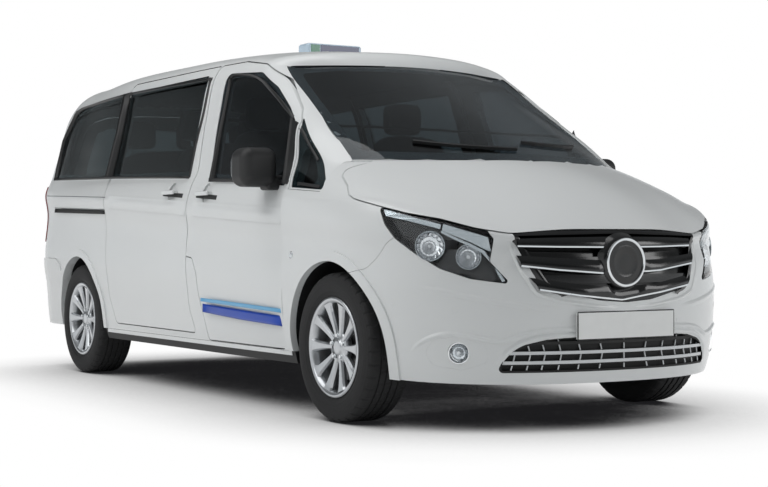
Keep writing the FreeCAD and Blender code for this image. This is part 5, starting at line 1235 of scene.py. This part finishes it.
for name, node, body, one, other in HANDLE_SHADES:
    (distance_one, normal_one), (distance_other, normal_other) = nearest([node], one), nearest([node], other)
    start, end = STANDPOINT + ray(one) * distance_one, STANDPOINT + ray(other) * distance_other
    spots = [(start.lerp(end, k / HANDLE_SHADE_STEPS), normal_one.lerp(normal_other, k / HANDLE_SHADE_STEPS).normalized())
             for k in range(HANDLE_SHADE_STEPS + 1)]
    to_left(bar(name + "_right", spots, 24 * MM, 4 * MM, black_plastic, body, sink=2 * MM), body)

# %% Sill lips
sill_low, sill_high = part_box("sills")
sill_length = sill_high.y - sill_low.y - 2 * LIP_INSET
lip_spots = []
for step in range(LIP_STEPS + 1):
    y = sill_low.y + LIP_INSET + sill_length * step / LIP_STEPS
    found = drop("sills", (-OUTSIDE, y, sill_high.z - LIP_BELOW), (1, 0, 0))
    if found:
        lip_spots.append((found[0], Vector((-1, 0, 0))))
to_left(bar("sill_lip_right", lip_spots, 22 * MM, 4 * MM, paint, "body", sink=1 * MM))
made("Handle_shades and lips")

# %% [markdown]
# ## Pressed lines and small caps
#
# The bumper and the doors carry soft creases, and the bumper three parking sensors a side. A small
# plated cap sits on the wing.

# %% Creases
FRONT_SKIN = ["front_bumper", "front_wing_right"]
RIDGES = [
    ("fog_lip", [(409, 354), (414, 347), (424, 340), (438, 335), (452, 333.5), (470, 336), (490, 340.5),
                 (505.5, 341.6), (516, 337.6), (527, 333.6), (548, 330.4), (573, 329.4), (600, 328.6)],
     FRONT_SKIN, 0.030, 0.009, "body"),
    ("intake_lip", [(495, 372), (498, 363.6), (505, 353), (520, 343.6), (537, 337.8), (560, 335.4),
                    (590, 333.6)],
     FRONT_SKIN, 0.030, 0.007, "body"),
    ("bumper_ridge", [(413.6, 287.2), (440, 291.2), (460, 295.6), (490, 301), (529.6, 306.8), (562, 310.2)],
     FRONT_SKIN, 0.036, 0.006, "body"),
    ("grille_lip", [(508.5, 240), (511.5, 250), (521, 271), (537, 294), (560, 301.2), (590, 305.6),
                    (622, 308.8)],
     FRONT_SKIN, 0.026, 0.007, "body"),
    ("sliding_crease", [(107.5, 202.0), (135, 204.2), (163, 206.4), (185, 208.4)], ["sliding_door_right"],
     0.075, 0.006, "body"),
    ("door_crease", [(191.5, 208.6), (225, 211.6), (262, 214.6), (281, 216.2)], ["front_door_right"],
     0.075, 0.006, "front_door_right"),
]
CAP_SHAPE = [(1.0, 0.0), (1.0, 0.5), (0.92, 0.85), (0.8, 1.0), (0.7, 0.8), (0.3, 0.9)]
CAP_PIXEL = (291, 255)
SENSOR_PIXELS = [(391.2, 303.7), (454.2, 311.7), (564.1, 324.4)]

for name, line, names, width, height, body in RIDGES:
    to_left(ridge(name + "_right", line, names, width, height, body), body)


# %% Round caps
def disc_on(name, names, pixel, radius, height, material):
    """A small round piece on the skin at a pixel, and its mirror image."""
    distance, normal = nearest(names, pixel)
    profile = [(radius * r, height * h) for r, h in CAP_SHAPE]
    to_left(turned(name + "_right", profile, STANDPOINT + ray(pixel) * distance, normal, 28, material, "body",
                   smooth=False))


disc_on("wing_cap", ["front_wing_right"], CAP_PIXEL, 17 * MM, 4 * MM, bright_trim)
for number, pixel in enumerate(SENSOR_PIXELS):
    disc_on("parking_sensor_" + str(number + 1), FRONT_SKIN, pixel, 11 * MM, 1.2 * MM, paint)
made("Creases and caps")

# %% [markdown]
# ## The tail
#
# The photograph doesn't show it. A grip over the plate, a wiper, a high brake lamp, reflectors and
# black edges are typical for the class. Each is a bar laid on the tail between two places.

# %% Bars on the tail
BEHIND = 3.4


def across_tail(name, node, x_from, x_to, z_from, z_to, width, height, material, body, steps=24):
    """A bar on the tail between two places seen from behind."""
    spots = []
    for step in range(steps + 1):
        t = step / steps
        start = (x_from + (x_to - x_from) * t, BEHIND, z_from + (z_to - z_from) * t)
        found = drop(node, start, FRONT_WAY)
        if found:
            spots.append((found[0], BACK_WAY))
    return bar(name, spots, width, height, material, body, sink=1 * MM)


# %% The tail's pieces
# Each row: name, carrier, x from and to, z from and to, width, height, material.
TAILGATE_BARS = [
    ("tailgate_grip", "tailgate", -0.27, 0.27, 0.955, 0.955, 0.045, 0.012, paint),
    ("tailgate_grip_shadow", "tailgate", -0.25, 0.25, 0.928, 0.928, 0.014, 0.005, black_plastic),
    ("brake_lamp", "rear_window", -0.16, 0.16, 1.575, 1.575, 0.026, 0.006, red_lamp),
    ("rear_wiper_arm", "rear_window", 0.0, 0.20, 1.175, 1.20, 0.020, 0.012, black_plastic),
    ("rear_wiper_blade", "rear_window", -0.05, 0.42, 1.215, 1.235, 0.012, 0.009, seal_rubber),
]
plate_frame("rear_plate", "tailgate", "rear", BACK_WAY)
for row in TAILGATE_BARS:
    across_tail(*row, "tailgate")
across_tail("loading_edge", "rear_bumper", -0.62, 0.62, 0.655, 0.655, 0.050, 0.0035, black_plastic, "body")
for sign, tag in ((1, "left"), (-1, "right")):
    across_tail("lower_edge_" + tag, "rear_bumper", sign * 0.18, sign * 0.72, 0.325, 0.325, 0.050, 0.0018,
                black_plastic, "body")
    across_tail("reflector_" + tag, "rear_bumper", sign * 0.62, sign * 0.74, 0.42, 0.42, 0.034, 0.004,
                red_lamp, "body")
    across_tail("tail_lamp_white_" + tag, "tail_lamps", sign * 0.825, sign * 0.868, 0.925, 0.925, 0.055,
                0.0015, clear_lamp, "body", steps=6)
    across_tail("tail_lamp_line_" + tag, "tail_lamps", sign * 0.822, sign * 0.868, 1.045, 1.045, 0.006,
                0.0015, lamp_black, "body", steps=6)
made("Tail")

# %% [markdown]
# ## Seats
#
# Each seat is a padded cushion, a backrest and a headrest. A pad starts as a rounded block, swells
# in the middle, pulls in between its corners, and has channels sewn across it. Cloth simulation
# would do it too, but behind dark glass these shapes are all that shows.

# %% A crowned pad
PAD_STEPS = 28
CHANNEL_DEPTH = 6 * MM
CHANNEL_SHARPNESS = 5


def pad(name, low, high, material, crown=20 * MM, channels=0, lean=0.0, power=5.0):
    """A crowned cushion in a box: a rounded block with its sides drawn in and channels sewn across it."""
    points, faces, index = [], [], {}
    centre, half = (low + high) / 2, (high - low) / 2

    def place_point(u, v, w):
        key = (round(u, 5), round(v, 5), round(w, 5))
        if key in index:
            return index[key]
        length = (abs(u) ** power + abs(v) ** power + abs(w) ** power) ** (1 / power)
        p = Vector((u, v, w)) / length
        swell = (1 - p.x**2 * 0.5) * (1 - p.y**2 * 0.5) * crown
        q = Vector((p.x * half.x, p.y * half.y, p.z * half.z)) + p.normalized() * swell * 0.5
        if channels and (p.z > 0.5 or abs(p.y) > 0.5):
            groove = abs(math.sin((p.x + 1) / 2 * math.pi * channels))
            q -= Vector((0, p.y, p.z)).normalized() * CHANNEL_DEPTH * max(0.0, 1 - groove * CHANNEL_SHARPNESS)
        q.y += lean * (q.z + half.z)
        index[key] = len(points)
        points.append(centre + q)
        return index[key]

    steps = [(i, j) for i in range(PAD_STEPS) for j in range(PAD_STEPS)]
    for axis in range(3):
        for sign in (-1, 1):
            for i, j in steps:
                corner = []
                for a, b in ((i, j), (i + 1, j), (i + 1, j + 1), (i, j + 1)):
                    uvw = [0, 0, 0]
                    uvw[axis] = sign
                    uvw[(axis + 1) % 3] = -1 + 2 * a / PAD_STEPS
                    uvw[(axis + 2) % 3] = -1 + 2 * b / PAD_STEPS
                    corner.append(place_point(*uvw))
                faces.append(tuple(corner if sign > 0 else corner[::-1]))
    piece = new_piece(name, points, faces, material, "body")
    return piece


# %% One row of seats
CUSHION_Z, BACKREST_Z, HEADREST_Z, BASE_Z = (0.60, 0.79), (0.70, 1.40), (1.42, 1.595), (0.46, 0.64)
CUSHION_Y, BACKREST_Y, HEADREST_Y, BASE_Y = (0.0, 0.47), (0.375, 0.505), (0.605, 0.70), (0.06, 0.42)
HEADREST_HALF, ROD_APART, ROD_Y, ROD_WIDTH = 0.11, 0.05, 0.645, 12 * MM
ROD_FOOT, ROD_LENGTH = 1.34, 0.12
CHANNELS_A_PLACE = 4
BACKREST_LEAN = 0.22
CROWN = 18 * MM


def boxed(x_low, x_high, front, y_range, z_range):
    """Lowest and highest corner of a pad's box."""
    return Vector((x_low, front + y_range[0], z_range[0])), Vector((x_high, front + y_range[1], z_range[1]))


def seat_row(tag, x_low, x_high, front, places):
    """Cushion, backrest, headrests and base of one row. Returns the cushion."""
    channels = CHANNELS_A_PLACE * len(places)
    cushion = pad("cushion_" + tag, *boxed(x_low, x_high, front, CUSHION_Y, CUSHION_Z), seat_cloth, CROWN,
                  channels)
    pad("backrest_" + tag, *boxed(x_low + 10 * MM, x_high - 10 * MM, front, BACKREST_Y, BACKREST_Z),
        seat_cloth, CROWN, channels, BACKREST_LEAN)
    for number, x in enumerate(places):
        numbered = tag + "_" + str(number + 1)
        pad("headrest_" + numbered,
            *boxed(x - HEADREST_HALF, x + HEADREST_HALF, front, HEADREST_Y, HEADREST_Z), seat_side, 10 * MM)
        for sign, hand in ((-1, "_r"), (1, "_l")):
            spots = [(Vector((x + sign * ROD_APART, front + ROD_Y, ROD_FOOT + ROD_LENGTH * k / 3)), FRONT_WAY)
                     for k in range(4)]
            bar("headrest_rod_" + numbered + hand, spots, ROD_WIDTH, ROD_WIDTH, bright_trim, "body")
    pad("seat_base_" + tag, *boxed(x_low + 40 * MM, x_high - 40 * MM, front, BASE_Y, BASE_Z), seat_side, 0.0,
        power=12.0)
    return cushion


# %% Three rows
FRONT_AXLE = -1.5525
FRONT_ROW, SECOND_ROW, THIRD_ROW = 0.98, 1.98, 2.93
SEAT_INNER, SEAT_OUTER, BENCH_HALF = 0.20, 0.68, 0.58
PLACE_APART = 0.39
right_cushion = seat_row("front_right", -SEAT_OUTER, -SEAT_INNER, FRONT_AXLE + FRONT_ROW,
                         [-(SEAT_INNER + SEAT_OUTER) / 2])
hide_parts("front_seats")
seat_row("front_left", SEAT_INNER, SEAT_OUTER, FRONT_AXLE + FRONT_ROW, [(SEAT_INNER + SEAT_OUTER) / 2])
for tag, node, row in (("second", "bench_2", SECOND_ROW), ("third", "bench_3", THIRD_ROW)):
    bench_cushion = seat_row(tag, -BENCH_HALF, BENCH_HALF, FRONT_AXLE + row, [-PLACE_APART, 0.0, PLACE_APART])
    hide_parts(node)
made("Seats")

# %% [markdown]
# ## Roof sign and mirror glass
#
# The roof sign is blank: a blue field and a green end, on both faces. The mirrors get their
# silvered glass.

# %% The roof sign
SIGN_FOOT, SIGN_TOP, SIGN_HALF_THICK = 22 * MM, 8 * MM, 2 * MM
SIGN_PARTS = [(-0.155, -0.098, sign_green, "end"), (-0.093, 0.155, sign_blue, "field")]
BLOCK_FACES = [(0, 1, 2, 3), (4, 7, 6, 5), (0, 4, 5, 1), (1, 5, 6, 2), (2, 6, 7, 3), (3, 7, 4, 0)]
sign_low, sign_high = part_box("roof_sign")
z0, z1 = sign_low.z + SIGN_FOOT, sign_high.z - SIGN_TOP
for y, way, tag in ((sign_low.y, -1, "front"), (sign_high.y, 1, "back")):
    for x0, x1, material, part in SIGN_PARTS:
        corners = [(x0, z0), (x1, z0), (x1, z1), (x0, z1)]
        points = [Vector((x, y + way * out, z)) for out in (SIGN_HALF_THICK, -SIGN_HALF_THICK)
                  for x, z in corners]
        piece = new_piece("sign_" + part + "_" + tag, points, BLOCK_FACES, material, "body", smooth=False)
        modify(piece, "BEVEL", width=0.8 * MM, segments=2)

# %% Mirror glass
MIRROR_INNER, MIRROR_Z = 0.935, 1.158
GLASS_HALF_WIDTH, GLASS_HALF_HEIGHT = 78 * MM, 76 * MM
GLASS_SQUARENESS, GLASS_STEPS = 0.55, 40
for side, sign in (("left", 1), ("right", -1)):
    low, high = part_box("mirror_" + side)
    middle = Vector((sign * (MIRROR_INNER + cad_high.x) / 2, high.y + 1 * MM, MIRROR_Z))
    points = []
    for r in (1.0, 0.0):
        for i in range(GLASS_STEPS):
            c, s = math.cos(i * 2 * math.pi / GLASS_STEPS), math.sin(i * 2 * math.pi / GLASS_STEPS)
            x = math.copysign(abs(c) ** GLASS_SQUARENESS, c) * GLASS_HALF_WIDTH * r
            z = math.copysign(abs(s) ** GLASS_SQUARENESS, s) * GLASS_HALF_HEIGHT * r
            points.append(middle + Vector((x, 0, z)))
    faces = between_rings(2, GLASS_STEPS)
    glass = new_piece("mirror_glass_" + side, points, faces, mirror_face, "front_door_" + side, smooth=False)
    modify(tidy_mesh(glass), "SOLIDIFY", thickness=2 * MM, offset=0.0)
made("Sign and mirrors")

# %% [markdown]
# ## Side stripes
#
# Two plain bands of film on the front doors, a wide blue one under a thin pale one.

# %% Stripes
STRIPES = [
    ("stripe_wide", stripe_blue, [(196, 302.6), (240, 309.5), (284, 316.3)],
     [(196, 310.6), (240, 319.5), (282.2, 326.3)]),
    ("stripe_thin", stripe_pale, [(196, 297.1), (240, 303), (285, 309.3)],
     [(196, 300.6), (240, 307), (284.6, 313.3)]),
]
for name, material, one, other in STRIPES:
    film = laid(name + "_right", one, other, ["front_door_right"], 0.8 * MM, material, "front_door_right",
                across=4)
    to_left(film, "front_door_right")
made("Stripes")

# %% [markdown]
# ## The floor
#
# A plain pale floor. Seen straight, mirrored or through glass it is white, with a soft shade under
# the vehicle that comes from how much open sky each place sees. For all other light it is a dull
# pale paint, so it doesn't light the vehicle from below.

# %% What a ray sees
FLOOR_HALF, FLOOR_LEVEL = 60, -1 * MM
SHADE_REACH = 1.1
DARKEST, DARKEST_AT, WHITE_AT = (0.012, 0.012, 0.013, 1), 0.18, 0.93
FLOOR_CORNERS = [(-1, -1), (1, -1), (1, 1), (-1, 1)]
WHITE = (1, 1, 1, 1)


def seen_rays(owner):
    """One where a ray comes from the camera, through glass or off a gloss."""
    path = add_node(owner, "ShaderNodeLightPath").outputs
    straight = add_node(owner, "ShaderNodeMath", path["Is Camera Ray"], path["Is Transmission Ray"],
                        operation="MAXIMUM")
    return straight.outputs[0], path["Is Glossy Ray"]


# %% The floor and its shade
floor_mesh = bpy.data.meshes.new("floor")
floor_points = [(x * FLOOR_HALF, y * FLOOR_HALF, FLOOR_LEVEL) for x, y in FLOOR_CORNERS]
floor_mesh.from_pydata(floor_points, [], [(0, 1, 2, 3)])
floor = bpy.data.objects.new("floor", floor_mesh)
bpy.context.scene.collection.objects.link(floor)
floor_paint, floor_shader = new_material("floor_paint", "#F4F5F5", 0.9, Specular_IOR_Level=0.1)
open_sky = add_node(floor_paint, "ShaderNodeAmbientOcclusion", Distance=SHADE_REACH, samples=16)
shade = add_node(floor_paint, "ShaderNodeValToRGB", Fac=open_sky.outputs["AO"])
darkest, whitest = shade.color_ramp.elements
darkest.position, darkest.color = DARKEST_AT, DARKEST
whitest.position, whitest.color = WHITE_AT, WHITE
glow = add_node(floor_paint, "ShaderNodeEmission", Color=shade.outputs["Color"], Strength=1.0)
straight, glossy = seen_rays(floor_paint)
any_seen = add_node(floor_paint, "ShaderNodeMath", straight, glossy, operation="MAXIMUM")
chosen = add_node(floor_paint, "ShaderNodeMixShader", any_seen.outputs[0], floor_shader.outputs[0],
                  glow.outputs[0])
end_of_floor = floor_paint.node_tree.nodes["Material Output"]
floor_paint.node_tree.links.new(chosen.outputs[0], end_of_floor.inputs["Surface"])
floor_mesh.materials.append(floor_paint)
floor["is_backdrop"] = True
print("Floor:", 2 * FLOOR_HALF, "m wide")

# %% [markdown]
# ## The studio
#
# Seen straight or through glass the surround is white. Gloss sees the same white near the horizon
# and a grey ceiling above it, which keeps the windscreen dark. The light itself comes from a grey
# surround and three large soft lamps, placed so that the windscreen mirrors none of them.

# %% Levels and lamps
# Each pair: height of the direction looked in, from the horizon to straight up, and grey level.
STUDIO_LIGHT = [(0.0, 0.14), (0.16, 0.07), (0.30, 0.05), (0.36, 0.24), (0.6, 0.34), (1.0, 0.42)]
STUDIO_MIRRORED = [(0.0, 1.0), (0.10, 0.90), (0.20, 0.22), (0.34, 0.08), (0.6, 0.22), (1.0, 0.30)]
COOL_TINT = (0.95, 0.98, 1.0)
# Each row: name, place, target, size, watts.
LAMPS = [
    ("overhead", (-3.1, -0.6, 5.2), (-0.4, -0.6, 0), (3.4, 8.0), 170),
    ("right_side", (-7.0, -1.0, 3.2), (0, 0, 0.9), (8.0, 3.0), 45),
    ("front_left", (5.0, -7.0, 3.4), (0, -2.0, 0.7), (4.0, 3.0), 140),
]

# %% The world
world = bpy.data.worlds.new("surround")
bpy.context.scene.world = world
world.use_nodes = True
around = add_node(world, "ShaderNodeTexCoord")
looked = add_node(world, "ShaderNodeSeparateXYZ", around.outputs["Generated"])


def by_height(levels):
    """A grey that changes with the height of the direction looked in."""
    ramp = add_node(world, "ShaderNodeValToRGB", Fac=looked.outputs["Z"])
    while len(ramp.color_ramp.elements) < len(levels):
        ramp.color_ramp.elements.new(0.5)
    for element, (position, level) in zip(ramp.color_ramp.elements, levels):
        element.position = position
        element.color = (level * COOL_TINT[0], level * COOL_TINT[1], level * COOL_TINT[2], 1)
    return ramp.outputs["Color"]


straight, glossy = seen_rays(world)
studio = add_node(world, "ShaderNodeMixRGB", glossy, by_height(STUDIO_LIGHT), by_height(STUDIO_MIRRORED))
grey = add_node(world, "ShaderNodeBackground", Color=studio.outputs["Color"], Strength=1.0)
white = add_node(world, "ShaderNodeBackground", Color=WHITE, Strength=1.0)
surround = add_node(world, "ShaderNodeMixShader", straight, grey.outputs[0], white.outputs[0])
world.node_tree.links.new(surround.outputs[0], world.node_tree.nodes["World Output"].inputs["Surface"])

# %% Lamps and view
for name, spot, target, size, power in LAMPS:
    data = bpy.data.lights.new(name, "AREA")
    data.shape = "RECTANGLE"
    data.size, data.size_y = size
    data.energy = power
    lamp = bpy.data.objects.new(name, data)
    bpy.context.scene.collection.objects.link(lamp)
    lamp.location = spot
    lamp.rotation_mode = "QUATERNION"
    lamp.rotation_quaternion = (Vector(target) - Vector(spot)).to_track_quat("-Z", "Y")
bpy.context.scene.view_settings.view_transform = "Standard"
print("Lamps:", len(LAMPS))

# %% Sizes
low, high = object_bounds()
print("Dressed length:", round(high.y - low.y, 4))
